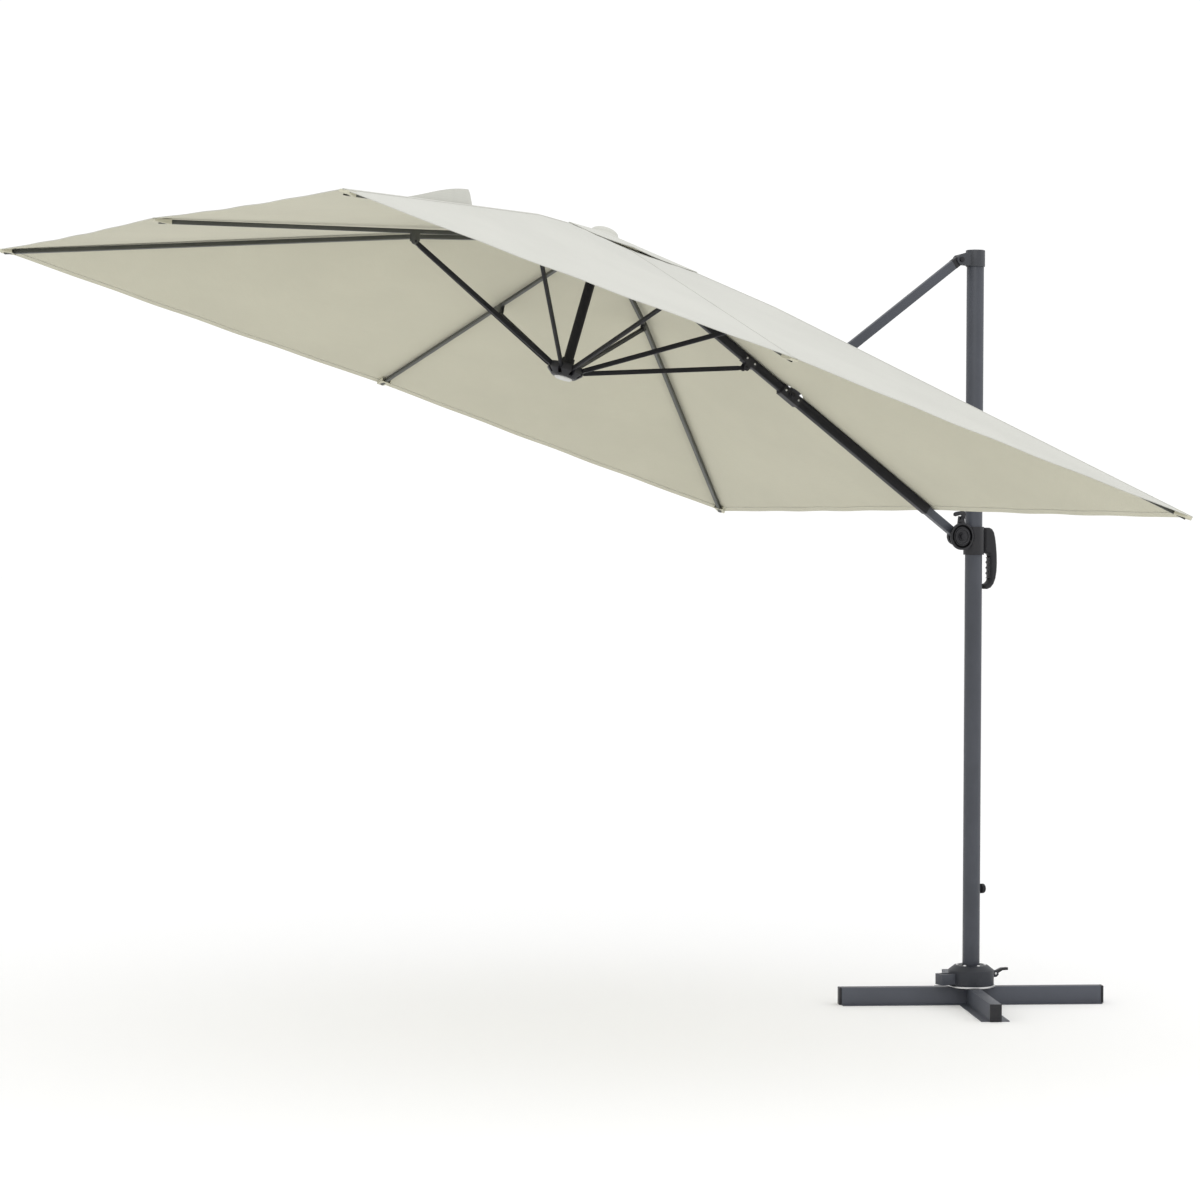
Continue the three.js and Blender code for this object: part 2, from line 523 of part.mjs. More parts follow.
// ---------------------------------------------------------------- slider, handle and tilt lock
function buildSlider() {
  const slider = frameAt(parasol, 0, sliderZ, 0);
  const inside = SHANK.width / 2 + CLEARANCE;
  const outside = inside + cheekWall;
  const drum = barZ(sliderRadius, -SLIDER.below, SLIDER.above, 40);
  const cheeks = bothSides((side) => {
    const [y0, y1] = cheekPlate(side, inside, cheekWall);
    return join(
      box(-PIVOT_OFFSET, -10, y0, y1, -SLIDER.cheekRadius, SLIDER.cheekRadius),
      barY(SLIDER.cheekRadius, y0, y1, -PIVOT_OFFSET, 0, 32),
    );
  });
  // The near cheek carries a lug for the lock lever.
  const leverX = -PIVOT_OFFSET + LEVER.pivotX;
  const lug = plate([
    [leverX - 16, 20], [leverX + 16, 20], [leverX + LEVER.lugHalf, LEVER.pivotZ + 6],
    [leverX - LEVER.lugHalf, LEVER.pivotZ + 6],
  ], -outside, -inside);
  const armRoom = box(-PIVOT_OFFSET * 2, -sliderRadius - SLIDER.notch, -inside, inside, -80, 80);
  const mastRoom = barZ(MAST.radius + 2 * CLEARANCE, -80, 80, 40);
  const discRoom = barY(DISC.radius + 2, -80, -outside, -PIVOT_OFFSET, 0, 48);
  const boltHole = barY(BOLT.radius + CLEARANCE, -80, 80, -PIVOT_OFFSET, 0);
  place(slider, "slider", cut(join(drum, ...cheeks, lug), armRoom, mastRoom, discRoom, boltHole),
    MATERIALS.plastic);

  // The ratchet disc lies against the near cheek; its rim has teeth for the lock lever.
  const discY1 = -outside - CLEARANCE;
  const discY0 = discY1 - DISC.thickness;
  const rim = [];
  for (let i = 0; i < DISC.teeth * 2; i += 1) {
    const radius = DISC.radius - (i % 2) * DISC.toothDepth;
    const angle = (i * Math.PI) / DISC.teeth;
    rim.push([radius * Math.cos(angle) - PIVOT_OFFSET, radius * Math.sin(angle)]);
  }
  place(slider, "tilt_disc", cut(plate(rim, discY0, discY1), boltHole), MATERIALS.plastic);
  place(slider, "slider_bolt",
    headedPin(BOLT.radius, BOLT.head, BOLT.headHeight, discY0 - CLEARANCE, outside + CLEARANCE, -PIVOT_OFFSET, 0),
    MATERIALS.steel);
  const lever = LEVER_OUTLINE.map(([x, z]) => [x - PIVOT_OFFSET, z]);
  place(slider, "lock_lever", plate(lever, discY1 - LEVER.thickness, discY1), MATERIALS.plastic);

  // The grip is a bowed bar on the slider's other side that ends in a hook; the trigger sits in it.
  const grip = plate(GRIP_OUTLINE, -GRIP.thickness / 2, GRIP.thickness / 2, GRIP.bevel);
  const socketY = TRIGGER.thickness / 2 + CLEARANCE;
  const socket = box(TRIGGER.seat - 8, TRIGGER.root + TRIGGER.travel, -socketY, socketY,
    TRIGGER.bottom - 2, TRIGGER.top + 2);
  const besideSlider = (part) => part.translate(sliderRadius, 0, 0);
  place(slider, "handle_grip", besideSlider(cut(grip, socket)), MATERIALS.plastic);

  // The trigger's inner side has a hollow for each finger.
  const face = [[TRIGGER.root, TRIGGER.bottom], [TRIGGER.root, TRIGGER.top], [TRIGGER.seat, TRIGGER.top]];
  const pitch = (TRIGGER.top - TRIGGER.bottom) / TRIGGER.scallops;
  for (let i = 0; i < TRIGGER.scallops; i += 1) {
    const z = TRIGGER.top - i * pitch;
    const deep = TRIGGER.face + TRIGGER.hollow;
    face.push([TRIGGER.face, z - pitch * 0.08], [deep, z - pitch * 0.3], [deep, z - pitch * 0.7],
      [TRIGGER.face, z - pitch * 0.92]);
  }
  face.push([TRIGGER.seat, TRIGGER.bottom]);
  const trigger = plate(face.reverse(), -TRIGGER.thickness / 2, TRIGGER.thickness / 2);
  place(slider, "handle_trigger", besideSlider(trigger), MATERIALS.plastic);
}

// ---------------------------------------------------------------- canopy frame
// A disc of forks for the ribs or the struts, one slot at each azimuth.
function forkedDisc(radius, z0, z1, slotFloor, slotWidth, core) {
  const slots = [];
  for (let i = 0; i < 8; i += 1) {
    slots.push(
      box(core, radius + 5, -slotWidth / 2, slotWidth / 2, slotFloor, z1 + 5).rotateZ((i * Math.PI) / 4),
    );
  }
  return cut(barZ(radius, z0, z1, 48), ...slots);
}

// Everything in one upright plane through the hub axis, at an azimuth from the arm.
function radialPlane(canopy, azimuth) {
  const plane = new THREE.Group();
  plane.rotation.z = azimuth * DEG;
  canopy.add(plane);
  return plane;
}

function ribBody(kind) {
  const length = (kind.reach - HUB.ring - RIB.tipInset) / Math.cos(kind.slope);
  const half = RIB.width / 2;
  // Local +X points down; a bent rib climbs to its strut joint and runs straight from there to its tip.
  const bent = (deep, wide, start, end) => {
    const lean = (-kind.rise * start) / kind.along;
    return plate([
      [lean - deep, start], [lean + deep, start], [deep - kind.rise, kind.along], [deep, end],
      [-deep, end], [-deep - kind.rise, kind.along],
    ], -wide, wide);
  };
  const bar = kind.rise === 0
    ? join(box(-RIB.depth / 2, RIB.depth / 2, -half, half, 0, RIB.root), boxTube(RIB, RIB.root - 5, length))
    : cut(
      bent(RIB.depth / 2, half, 0, length),
      bent(RIB.depth / 2 - RIB.wall, half - RIB.wall, RIB.root, length + 1),
    );
  const rib = join(bar, barY(RIB.depth / 2, -half, half));
  const ears = bothSides((side) => {
    const [y0, y1] = cheekPlate(side, half - 0.3, RIB.ear);
    return join(
      box(-2 - kind.rise, kind.below, y0, y1, kind.along - 14, kind.along + 14),
      barY(RIB.earRadius, y0, y1, kind.below, kind.along, 16),
    );
  });
  return join(rib, ...ears);
}

function strutBody(length) {
  const half = STRUT.width / 2;
  const end = (z, inward) => join(
    barY(STRUT.endDepth / 2, -half, half, 0, z),
    box(-STRUT.endDepth / 2, STRUT.endDepth / 2, -half, half, Math.min(z, inward), Math.max(z, inward)),
  );
  const middle = boxTube(STRUT, STRUT.endLength, length - STRUT.endLength);
  const drain = box(-STRUT.ventHole / 2, STRUT.ventHole / 2, 0, STRUT.width, length / 2 - 3, length / 2 + 3);
  const whole = join(end(0, STRUT.endLength + 3), end(length, length - STRUT.endLength - 3), middle);
  return cut(whole, drain);
}

// The strut from its joint under a rib to the runner's fork.
function addStrut(plane, kind, name) {
  const jointX = HUB.ring + kind.along * Math.cos(kind.slope) - kind.below * Math.sin(kind.slope);
  const jointZ = -hubPivotDrop - kind.along * Math.sin(kind.slope) - kind.below * Math.cos(kind.slope);
  const dx = HUB.ring - jointX;
  const dz = -RUNNER.drop - jointZ;
  const strut = frameAt(plane, jointX, jointZ, Math.atan2(dx, dz));
  place(strut, name, strutBody(Math.hypot(dx, dz)), MATERIALS.frame);
}

// A kite of cloth that lies over one rib, from the vent's edge to the rim.
function clothPanel(isCorner) {
  const w = CANOPY.halfWidth;
  const dropSide = (CANOPY.dropMid + CANOPY.dropCorner) / 2;
  const tip = isCorner ? [cornerReach, 0, CANOPY.dropCorner] : [w, 0, CANOPY.dropMid];
  const side = isCorner ? [w * 0.75 * Math.SQRT2, w * 0.25 * Math.SQRT2, dropSide] : [w, w / 2, dropSide];
  // Three rows: the vent's edge, the strut joints, where the corner ribs bend up, and the rim.
  const shares = [FABRIC.ventHalf / w, bendShare, 1];
  const rises = [(CORNER_RISE * shares[0]) / bendShare, CORNER_RISE, 0];
  const points = [];
  for (const above of [0, FABRIC.thickness]) {
    shares.forEach((share, row) => {
      for (const across of [-1, 0, 1]) {
        const mix = Math.abs(across);
        const [x, y, drop] = tip.map((value, k) => (1 - mix) * value + mix * side[k]);
        const toCorner = isCorner ? 1 - mix / 2 : mix / 2;
        const z = canopyLift - drop * share + toCorner * rises[row] + above;
        points.push(x * share, across * (y * share - FABRIC.gap), z);
      }
    });
  }
  // Both faces share their diagonals, so the sheet is equally thick all over.
  const halves = [[0, 3, 1], [3, 4, 1], [1, 4, 5], [1, 5, 2]];
  const under = [...halves, ...halves.map((face) => face.map((id) => id + 3))];
  const rim = [0, 3, 6, 7, 8, 5, 2, 1];
  const layer = 9;
  const faces = [
    ...under.map(([a, b, c]) => [a, c, b]),
    ...under.map((face) => face.map((id) => id + layer)),
    ...rim.flatMap((a, k) => {
      const b = rim[(k + 1) % rim.length];
      return [[a, b, b + layer], [a, b + layer, a + layer]];
    }),
  ];
  const sheet = new THREE.BufferGeometry();
  sheet.setAttribute("position", new THREE.Float32BufferAttribute(points, 3));
  sheet.setIndex(faces.flat());
  return geometryOf(solid(sheet));
}

function buildCanopy(brace, forkOutside) {
  const canopy = frameAt(parasol, hubX, hubZ, CANOPY.tilt);

  const hubBottom = HUB.top - HUB.height;
  const disc = forkedDisc(HUB.radius, hubBottom, HUB.top, hubBottom - 5, RIB.width + 2 * CLEARANCE, HUB.core);
  const cupInner = SPACER.radius + CLEARANCE;
  const cup = tube(cupInner + HUB.cupWall, cupInner, hubBottom - HUB.cupDepth, hubBottom + 1, 32);
  place(canopy, "top_hub", join(disc, cup), MATERIALS.plastic);

  const { half, thickness, hole } = VENT;
  const slope = (ventPeak - ventRim) / half;
  const outer = half * Math.SQRT2;
  const cap = turned([
    [hole, ventPeak - hole * slope], [outer, ventRim], [outer, ventRim + thickness],
    [hole, ventPeak - hole * slope + thickness], [hole, ventPeak - hole * slope],
  ], 4).rotateZ(Math.PI / 4);
  place(canopy, "vent_cap", cap, MATERIALS.fabric);
  const domeFloor = ventPeak + thickness + CLEARANCE;
  const domeEdge = domeFloor - (FINIAL.radius * slope) / Math.SQRT2;
  const shoulder = domeEdge + FINIAL.edge;
  const dome = [[0, domeFloor], [FINIAL.radius, domeEdge], [FINIAL.radius, shoulder]];
  for (let i = 1; i <= 5; i += 1) {
    const turn = (i * Math.PI) / 10;
    dome.push([FINIAL.radius * Math.cos(turn), shoulder + (finialPeak - shoulder) * Math.sin(turn)]);
  }
  dome[dome.length - 1][0] = 0;
  place(canopy, "finial", turned(dome, 32), MATERIALS.fabric);

  // The runner, its spacer tube and cap slide together along the hub axis.
  const runnerTop = -RUNNER.drop + RUNNER.above;
  const runnerBottom = -RUNNER.drop - RUNNER.below;
  const drum = forkedDisc(RUNNER.radius, runnerBottom, runnerTop, runnerBottom + RUNNER.floor,
    STRUT.width + 2 * CLEARANCE, HUB.core);
  const bowl = turned([
    [0, runnerBottom], [RUNNER.base, runnerBottom], [RUNNER.radius, runnerBottom + RUNNER.bowl],
    [RUNNER.radius, runnerTop], [0, runnerTop],
  ], 48);
  const bore = barZ(SPACER.radius + CLEARANCE, runnerBottom + RUNNER.floor, runnerTop + 5, 32);
  const bowled = geometryOf(solid(drum).intersect(solid(bowl)));
  place(canopy, "runner", cut(bowled, bore), MATERIALS.plastic);
  const tubeInner = SPACER.radius - SPACER.wall;
  const tubeBottom = runnerBottom + RUNNER.floor + CLEARANCE;
  const collarBottom = runnerTop + CLEARANCE;
  place(canopy, "spacer_tube", turned([
    [tubeInner, tubeBottom], [SPACER.radius, tubeBottom], [SPACER.radius, collarBottom],
    [SPACER.collar, collarBottom], [SPACER.collar, collarBottom + SPACER.collarHeight],
    [SPACER.radius, collarBottom + SPACER.collarHeight], [SPACER.radius, hubBottom - 1],
    [tubeInner, hubBottom - 1], [tubeInner, tubeBottom],
  ], 32), MATERIALS.frame);
  const capTop = runnerBottom - CLEARANCE;
  place(canopy, "runner_cap", turned([
    [0, capTop - RUNNER_CAP.height], [RUNNER_CAP.radius * 0.75, capTop - RUNNER_CAP.height],
    [RUNNER_CAP.radius, capTop - 2], [RUNNER_CAP.radius, capTop], [0, capTop],
  ], 32), MATERIALS.cap);

  // Ribs, struts and cloth, one radial plane after another; the arm takes the first plane.
  const armPlane = radialPlane(canopy, 0);
  addStrut(armPlane, ARM_RIB, "strut_arm");
  const armCloth = place(armPlane, "cloth_arm", clothPanel(false), MATERIALS.fabric);
  RIBS.forEach(({ name, azimuth, kind }) => {
    const plane = radialPlane(canopy, azimuth);
    const rib = frameAt(plane, HUB.ring, -hubPivotDrop, Math.PI / 2 + kind.slope);
    place(rib, "rib_" + name, ribBody(kind), MATERIALS.frame);
    addStrut(plane, kind, "strut_" + name);
    place(plane, "cloth_" + name, clothPanel(kind === CORNER_RIB), MATERIALS.fabric);
  });

  // The brace passes through a slit in the cloth above the arm.
  canopy.updateMatrixWorld(true);
  brace.updateMatrixWorld(true);
  const toCanopy = canopy.matrixWorld.clone().invert().multiply(brace.matrixWorld);
  const head = new THREE.Vector3().applyMatrix4(toCanopy);
  const foot = new THREE.Vector3(0, 0, -BRACE.span).applyMatrix4(toCanopy);
  const clothSlope = CANOPY.dropMid / CANOPY.halfWidth;
  const above = (point) => point.z - canopyLift + point.x * clothSlope;
  const crossing = head.clone().lerp(foot, above(head) / (above(head) - above(foot)));
  const steepness = Math.sin(Math.atan2(head.z - foot.z, foot.x - head.x) - Math.atan(clothSlope));
  const slitX = FABRIC.slitRoom + BRACE.depth / 2 / Math.abs(steepness);
  const slitY = FABRIC.slitRoom + forkOutside;
  const slit = box(crossing.x - slitX, crossing.x + slitX, -slitY, slitY, -RUNNER.drop, RUNNER.drop);
  armCloth.geometry = cut(armCloth.geometry, slit);
}

buildBase();
buildMast();
const brace = buildBrace();
buildArm(brace.forkOutside);
buildSlider();
buildCanopy(brace.frame, brace.forkOutside);

export default parasol;
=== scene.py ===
"""Cantilever parasol: a square cloth canopy on eight ribs, an arm, a brace and a swivel mast."""
import json

from math import atan2, cos, exp, hypot, pi, radians, sin

import bmesh
import bpy
from bpy.props import FloatProperty, FloatVectorProperty, PointerProperty
from mathutils import Matrix, Vector


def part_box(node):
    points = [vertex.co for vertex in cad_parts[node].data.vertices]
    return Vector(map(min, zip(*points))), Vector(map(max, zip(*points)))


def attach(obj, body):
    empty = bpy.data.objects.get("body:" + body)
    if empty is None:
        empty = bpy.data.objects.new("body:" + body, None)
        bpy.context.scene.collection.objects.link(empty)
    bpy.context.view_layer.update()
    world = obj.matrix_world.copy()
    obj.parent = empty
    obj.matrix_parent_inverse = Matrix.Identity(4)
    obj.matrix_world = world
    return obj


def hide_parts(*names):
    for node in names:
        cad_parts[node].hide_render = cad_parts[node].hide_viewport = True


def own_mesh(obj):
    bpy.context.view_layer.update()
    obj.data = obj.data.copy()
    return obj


bl_info = {
    "name": "Cantilever parasol",
    "version": (1, 0, 0),
    "blender": (4, 5, 0),
    "location": "View3D > Sidebar > Parasol",
    "description": "Builds a cantilever parasol around its packed frame",
    "category": "Object",
}

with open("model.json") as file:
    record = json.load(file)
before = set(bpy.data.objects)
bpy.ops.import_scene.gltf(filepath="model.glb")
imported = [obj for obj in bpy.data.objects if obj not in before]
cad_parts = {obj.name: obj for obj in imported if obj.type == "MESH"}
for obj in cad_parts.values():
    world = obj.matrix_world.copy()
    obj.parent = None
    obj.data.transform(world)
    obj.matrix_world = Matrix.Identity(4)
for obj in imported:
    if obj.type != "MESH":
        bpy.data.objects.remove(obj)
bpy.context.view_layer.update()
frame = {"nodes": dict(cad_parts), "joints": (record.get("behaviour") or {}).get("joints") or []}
NODES = frame["nodes"]
JOINTS = {joint["name"]: joint for joint in frame["joints"]}
LEG_TURN = radians(-22.4)  # the base cross against the arm
LEG_BOLT_REACH = 0.0225  # metres from the mast's axis
HOUSING_BOLT_REACH = 0.047
KEY_SPOT, KEY_SIZE = (-5.0, -6.5, 6.5), 5.0
FILL_SPOT, FILL_SIZE, FILL_SHARE = (5.5, -4.5, 3.5), 4.0, 0.15
CAMERA_SPOT = (-7.0872, -10.9428, 1.7919)
CAMERA_TURN = (27.2131, -1.7143, 0.1955)  # azimuth, pitch and roll in degrees
SENSOR_WIDTH = 36  # millimetres
FOCAL_SHARE = 3730.31 / 1200  # focal length over the picture's width


# ------------------------------------------------------------------ places taken from the frame
def pivot(joint):
    return Vector(JOINTS[joint]["pos_m"])


def axis(joint):
    return Vector(JOINTS[joint]["axis"]).normalized()


def axes_at(origin, x, y):
    """A frame with its origin, its X and its Y direction given."""
    z = x.cross(y).normalized()
    placed = Matrix((x, y, z)).transposed().to_4x4()
    placed.translation = origin
    return placed


RIB_NAMES = (
    "mast_far", "mid_far", "outer_far", "mid_outer", "outer_near", "mid_near", "mast_near",
)
WORLD_Y = Vector((0, 1, 0))
RING = sum((pivot("fold_" + name) for name in RIB_NAMES), pivot("canopy_fold")) / 8
CANOPY_X = (pivot("canopy_fold") - RING).normalized()
CANOPY = axes_at(RING, CANOPY_X, WORLD_Y)  # X points at the mast, Z out through the top
TO_CANOPY = CANOPY.inverted()

# Each rib's azimuth from the arm, the body that its cloth rides on and the joint that folds it.
RADII = {"arm": (0.0, "arm", "canopy_fold")}
for number, rib_name in enumerate(RIB_NAMES, 1):
    RADII[rib_name] = (number * pi / 4, "rib_" + rib_name, "fold_" + rib_name)
CORNERS = ("mast_far", "outer_far", "outer_near", "mast_near")

SLIDER_PIVOT = pivot("slider_pivot")
ARM_DIRECTION = (pivot("canopy_fold") - SLIDER_PIVOT).normalized()
ARM = axes_at(SLIDER_PIVOT, WORLD_Y.cross(ARM_DIRECTION), WORLD_Y)  # Z along the arm, X out of its top


def local_points(node, place):
    inverse = place.inverted()
    return [inverse @ v.co for v in NODES[node].data.vertices]


# The cloth's reach and drops, read from the CAD sheets of one middle and one corner rib.
_mid = local_points("cloth_mid_outer", CANOPY)
_corner = local_points("cloth_outer_near", CANOPY)
HALF_WIDTH = max(-p.x for p in _mid)
_edge = [p for p in _mid if abs(p.y) < 1e-4]
_rim_z = min(p.z for p in _edge if -p.x > HALF_WIDTH - 1e-3)
_vent_x = min(-p.x for p in _edge)
_vent_z = min(p.z for p in _edge if -p.x < _vent_x + 1e-3)
DROP_RATE = (_vent_z - _rim_z) / (HALF_WIDTH - _vent_x)
CLOTH_LIFT = _vent_z + DROP_RATE * _vent_x
DROP_MID = CLOTH_LIFT - _rim_z
DROP_CORNER = CLOTH_LIFT - min(p.z for p in _corner if -p.x > HALF_WIDTH - 1e-3)
VENT_HOLE = _vent_x / HALF_WIDTH
# The corner ribs bend up at their strut joints, and the cloth with them.
_place = CANOPY @ Matrix.Rotation(RADII["outer_near"][0], 4, "Z")
_ridge = [p for p in local_points("cloth_outer_near", _place) if abs(p.y) < 1e-4]
_middle = [p for p in _ridge if _vent_x * 1.6 < p.x < HALF_WIDTH * 1.3]
BEND = _middle[0].x / (HALF_WIDTH * 2 ** 0.5)
BEND_RISE = min(p.z for p in _middle) - (CLOTH_LIFT - DROP_CORNER * BEND)
VENT_POINTS = local_points("vent_cap", CANOPY)
VENT_HALF = max(p.x for p in VENT_POINTS)
VENT_RIM = min(p.z for p in VENT_POINTS)
VENT_PEAK = VENT_RIM + (max(p.z for p in VENT_POINTS) - VENT_RIM) * 1.02


# ------------------------------------------------------------------ settings
def length(name, text, value):
    return FloatProperty(name=name, description=text, default=value, min=0, unit="LENGTH")


def colour(name, text, value):
    return FloatVectorProperty(name=name, description=text, default=value, size=3, min=0, max=1,
                               subtype="COLOR")


class ParasolCloth(bpy.types.PropertyGroup):
    sag: length("Sag", "How far the cloth hangs below a flat panel between two ribs", 0.004)
    bow: length("Rim bow", "How far the rim is drawn in between two rib tips", 0.005)
    cloth: length("Cloth thickness", "Thickness of the canopy cloth", 0.001)
    hem: length("Hem width", "Width of the folded hem round the rim", 0.022)
    tape: length("Seam tape width", "Width of the sewn tape over each rib", 0.016)
    weave: length("Thread spacing", "Distance from one thread to the next", 0.0011)
    stitch: length("Stitch length", "Length of one stitch and its gap", 0.006)


class ParasolFinishes(bpy.types.PropertyGroup):
    canopy_top: colour("Canopy, outside", "Cloth seen from above", (0.60, 0.602, 0.555))
    # Painted shade: the inside colour is the cloth's own colour darkened and tinted green, standing in
    # for the dimmer light through the cloth
    canopy_under_shade: colour("Canopy, inside", "Cloth seen from below", (0.54, 0.524, 0.412))
    thread: colour("Thread", "Sewing thread", (0.52, 0.51, 0.44))
    frame_paint: colour("Frame paint", "Powder coat on the mast and brace", (0.064, 0.069, 0.083))
    # Painted shade: the arm and struts take the frame's powder coat darkened almost to black, where they
    # lie under the canopy
    shade_darkened_paint: colour("Dark paint", "Powder coat on the arm and struts", (0.011, 0.0112, 0.014))
    # Painted light: the ribs take the frame's grey tinted green and kept lighter than the struts,
    # standing in for light from the cloth
    rib_paint_cloth_lit: colour("Rib paint", "Powder coat on the ribs", (0.06, 0.063, 0.055))
    base_paint: colour("Base paint", "Powder coat on the legs", (0.06, 0.066, 0.083))
    plastic: colour("Black plastic", "Moulded fittings", (0.013, 0.013, 0.016))
    cap: colour("Grey plastic", "Cap under the runner", (0.58, 0.58, 0.56))
    steel: colour("Zinc steel", "Pins, screws and rivets", (0.62, 0.62, 0.62))


class ParasolStage(bpy.types.PropertyGroup):
    floor: colour("Floor", "Studio floor", (0.97, 0.97, 0.97))
    world: FloatProperty(name="Surround light", description="Strength of the white surround",
                         default=1.05, min=0)
    key: FloatProperty(name="Key light", description="Strength of the large soft light",
                       default=115.0, min=0, unit="POWER")


def cloth_settings():
    return bpy.context.scene.parasol_cloth


def finishes():
    return bpy.context.scene.parasol_finishes


# ------------------------------------------------------------------ modelling helpers
def activate(obj):
    if bpy.context.object and bpy.context.object.mode != "OBJECT":
        bpy.ops.object.mode_set(mode="OBJECT")
    bpy.ops.object.select_all(action="DESELECT")
    obj.select_set(True)
    bpy.context.view_layer.objects.active = obj
    return obj


def edit(obj):
    activate(obj)
    bpy.ops.object.mode_set(mode="EDIT")


def done():
    bpy.ops.object.mode_set(mode="OBJECT")


def named(name):
    obj = bpy.context.object
    obj.name = name
    obj.data.name = name
    return obj


def pick_faces(obj, test):
    """Selects the faces whose centre and normal pass the test, in edit mode."""
    bpy.ops.mesh.select_mode(type="FACE")
    bpy.ops.mesh.select_all(action="DESELECT")
    shape = bmesh.from_edit_mesh(obj.data)
    for face in shape.faces:
        if test(face.calc_center_median(), face.normal):
            face.select_set(True)
    shape.select_flush(True)
    bmesh.update_edit_mesh(obj.data)


def apply_modifier(obj, kind, **settings):
    activate(obj)
    modifier = obj.modifiers.new(kind.title(), kind)
    for key, value in settings.items():
        setattr(modifier, key, value)
    bpy.ops.object.modifier_apply(modifier=modifier.name)


def round_edges(obj, width, segments=2, angle=30):
    apply_modifier(obj, "BEVEL", width=width, segments=segments, limit_method="ANGLE",
                   angle_limit=radians(angle), use_clamp_overlap=True)
    smooth(obj)


def smooth(obj, angle=33):
    activate(obj)
    bpy.ops.object.shade_smooth_by_angle(angle=radians(angle))


def place_piece(obj, place):
    """Moves a piece made at the origin to its place; the object itself stays at the origin."""
    obj.data.transform(place)
    obj.data.update()
    return obj


def copied(template, name, place):
    twin = template.copy()
    twin.data = template.data.copy()
    twin.name = twin.data.name = name
    bpy.context.scene.collection.objects.link(twin)
    return place_piece(twin, place)


def drop_template(obj):
    bpy.data.objects.remove(obj)


def joined(name, objects):
    activate(objects[0])
    for obj in objects:
        obj.select_set(True)
    if len(objects) > 1:
        bpy.ops.object.join()
    return named(name)


def finish_piece(obj, body, slot, material, *nodes):
    """Gives a piece its material and its body, and hides the CAD nodes that it stands for; the slot is
    not used.
    """
    wanted = list(material) if isinstance(material, (list, tuple)) else [material]
    if list(obj.data.materials) != wanted:  # a cloth piece keeps its two sides as they are
        obj.data.materials.clear()
        for made in wanted:
            obj.data.materials.append(made)
    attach(obj, body)
    if nodes:
        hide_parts(*nodes)
    return obj


def refined(node, rounding=0.0012, segments=2, name=None, angle=30):
    """A copy of a CAD node with its triangles merged into faces and its edges rounded."""
    obj = bpy.data.objects.new(name or node + "_finished", NODES[node].data.copy())
    bpy.context.scene.collection.objects.link(obj)
    obj.data.materials.clear()
    edit(obj)
    bpy.ops.mesh.select_all(action="SELECT")
    bpy.ops.mesh.remove_doubles(threshold=1e-5)
    bpy.ops.mesh.dissolve_limited(angle_limit=radians(1))
    done()
    if rounding:
        round_edges(obj, rounding, segments, angle)
    else:
        smooth(obj)
    return obj


def fitted(node, rounding, body, slot, coat, segments=2):
    """Refines a frame node and finishes it in that node's place."""
    return finish_piece(refined(node, rounding, segments), body, slot, coat, node)


def turned(name, profile, place=None, sides=48, closed=False):
    """A turned body: one ring extruded through [radius, height] steps along its own Z."""
    bpy.ops.object.select_all(action="DESELECT")
    radius, height = profile[0]
    bpy.ops.mesh.primitive_circle_add(vertices=sides, radius=radius, location=(0, 0, height))
    obj = named(name)
    bpy.ops.object.transform_apply(location=True, rotation=True, scale=True)
    edit(obj)
    bpy.ops.mesh.select_mode(type="VERT")
    bpy.ops.mesh.select_all(action="SELECT")
    if not closed:
        bpy.ops.mesh.edge_face_add()
        bpy.ops.mesh.select_all(action="SELECT")
    for next_radius, next_height in profile[1:]:
        bpy.ops.mesh.extrude_region_move(
            TRANSFORM_OT_translate={"value": (0, 0, next_height - height)}
        )
        scale = next_radius / radius
        bpy.ops.transform.resize(value=(scale, scale, 1), center_override=(0, 0, next_height))
        radius, height = next_radius, next_height
    bpy.ops.mesh.select_all(action="SELECT")
    bpy.ops.mesh.remove_doubles(threshold=1e-6)
    bpy.ops.mesh.normals_make_consistent(inside=False)
    done()
    smooth(obj)
    return place_piece(obj, place) if place else obj


def facing(centre, direction):
    """A frame at a point, with its Z along a direction."""
    turn = Vector(direction).to_track_quat("Z", "Y").to_matrix().to_4x4()
    return Matrix.Translation(centre) @ turn


def block(name, low, high):
    """A box between two corners, ready to be shaped."""
    low, high = Vector(low), Vector(high)
    bpy.ops.object.select_all(action="DESELECT")
    bpy.ops.mesh.primitive_cube_add(size=1, location=(low + high) / 2, scale=high - low)
    bpy.ops.object.transform_apply(location=True, rotation=True, scale=True)
    return named(name)


def screw(name, radius, height):
    """A pan-head screw along Z with a round recess, standing on the origin."""
    obj = turned(name, [
        (radius, 0), (radius, height * 0.55), (radius * 0.86, height * 0.9), (radius * 0.7, height),
        (radius * 0.5, height), (radius * 0.46, height * 0.45), (radius * 0.05, height * 0.4),
    ], sides=24)
    return obj


def rivet(name, radius, height):
    """A domed rivet head along Z, standing on the origin."""
    steps = [(radius * cos(t * pi / 12), height * sin(t * pi / 12)) for t in range(6)]
    return turned(name, [(radius, -height * 0.2)] + steps[0:] + [(radius * 0.05, height)], sides=20)


# ------------------------------------------------------------------ node helpers
def add_node(tree, kind, inputs=None, **settings):
    made = tree.nodes.new(kind)
    for key, value in settings.items():
        setattr(made, key, value)
    for key, value in (inputs or {}).items():
        if isinstance(value, bpy.types.NodeSocket):
            tree.links.new(value, made.inputs[key])
        else:
            made.inputs[key].default_value = value
    return made


def maths(tree, operation, a, b=0.0, clamp=False):
    return add_node(tree, "ShaderNodeMath", {0: a, 1: b}, operation=operation,
                    use_clamp=clamp).outputs[0]


def between(tree, value, low, high, to_low=0.0, to_high=1.0):
    """A soft step: value from low to high becomes to_low to to_high."""
    made = add_node(tree, "ShaderNodeMapRange", {
        "Value": value, "From Min": low, "From Max": high, "To Min": to_low, "To Max": to_high,
    }, interpolation_type="SMOOTHSTEP")
    return made.outputs["Result"]


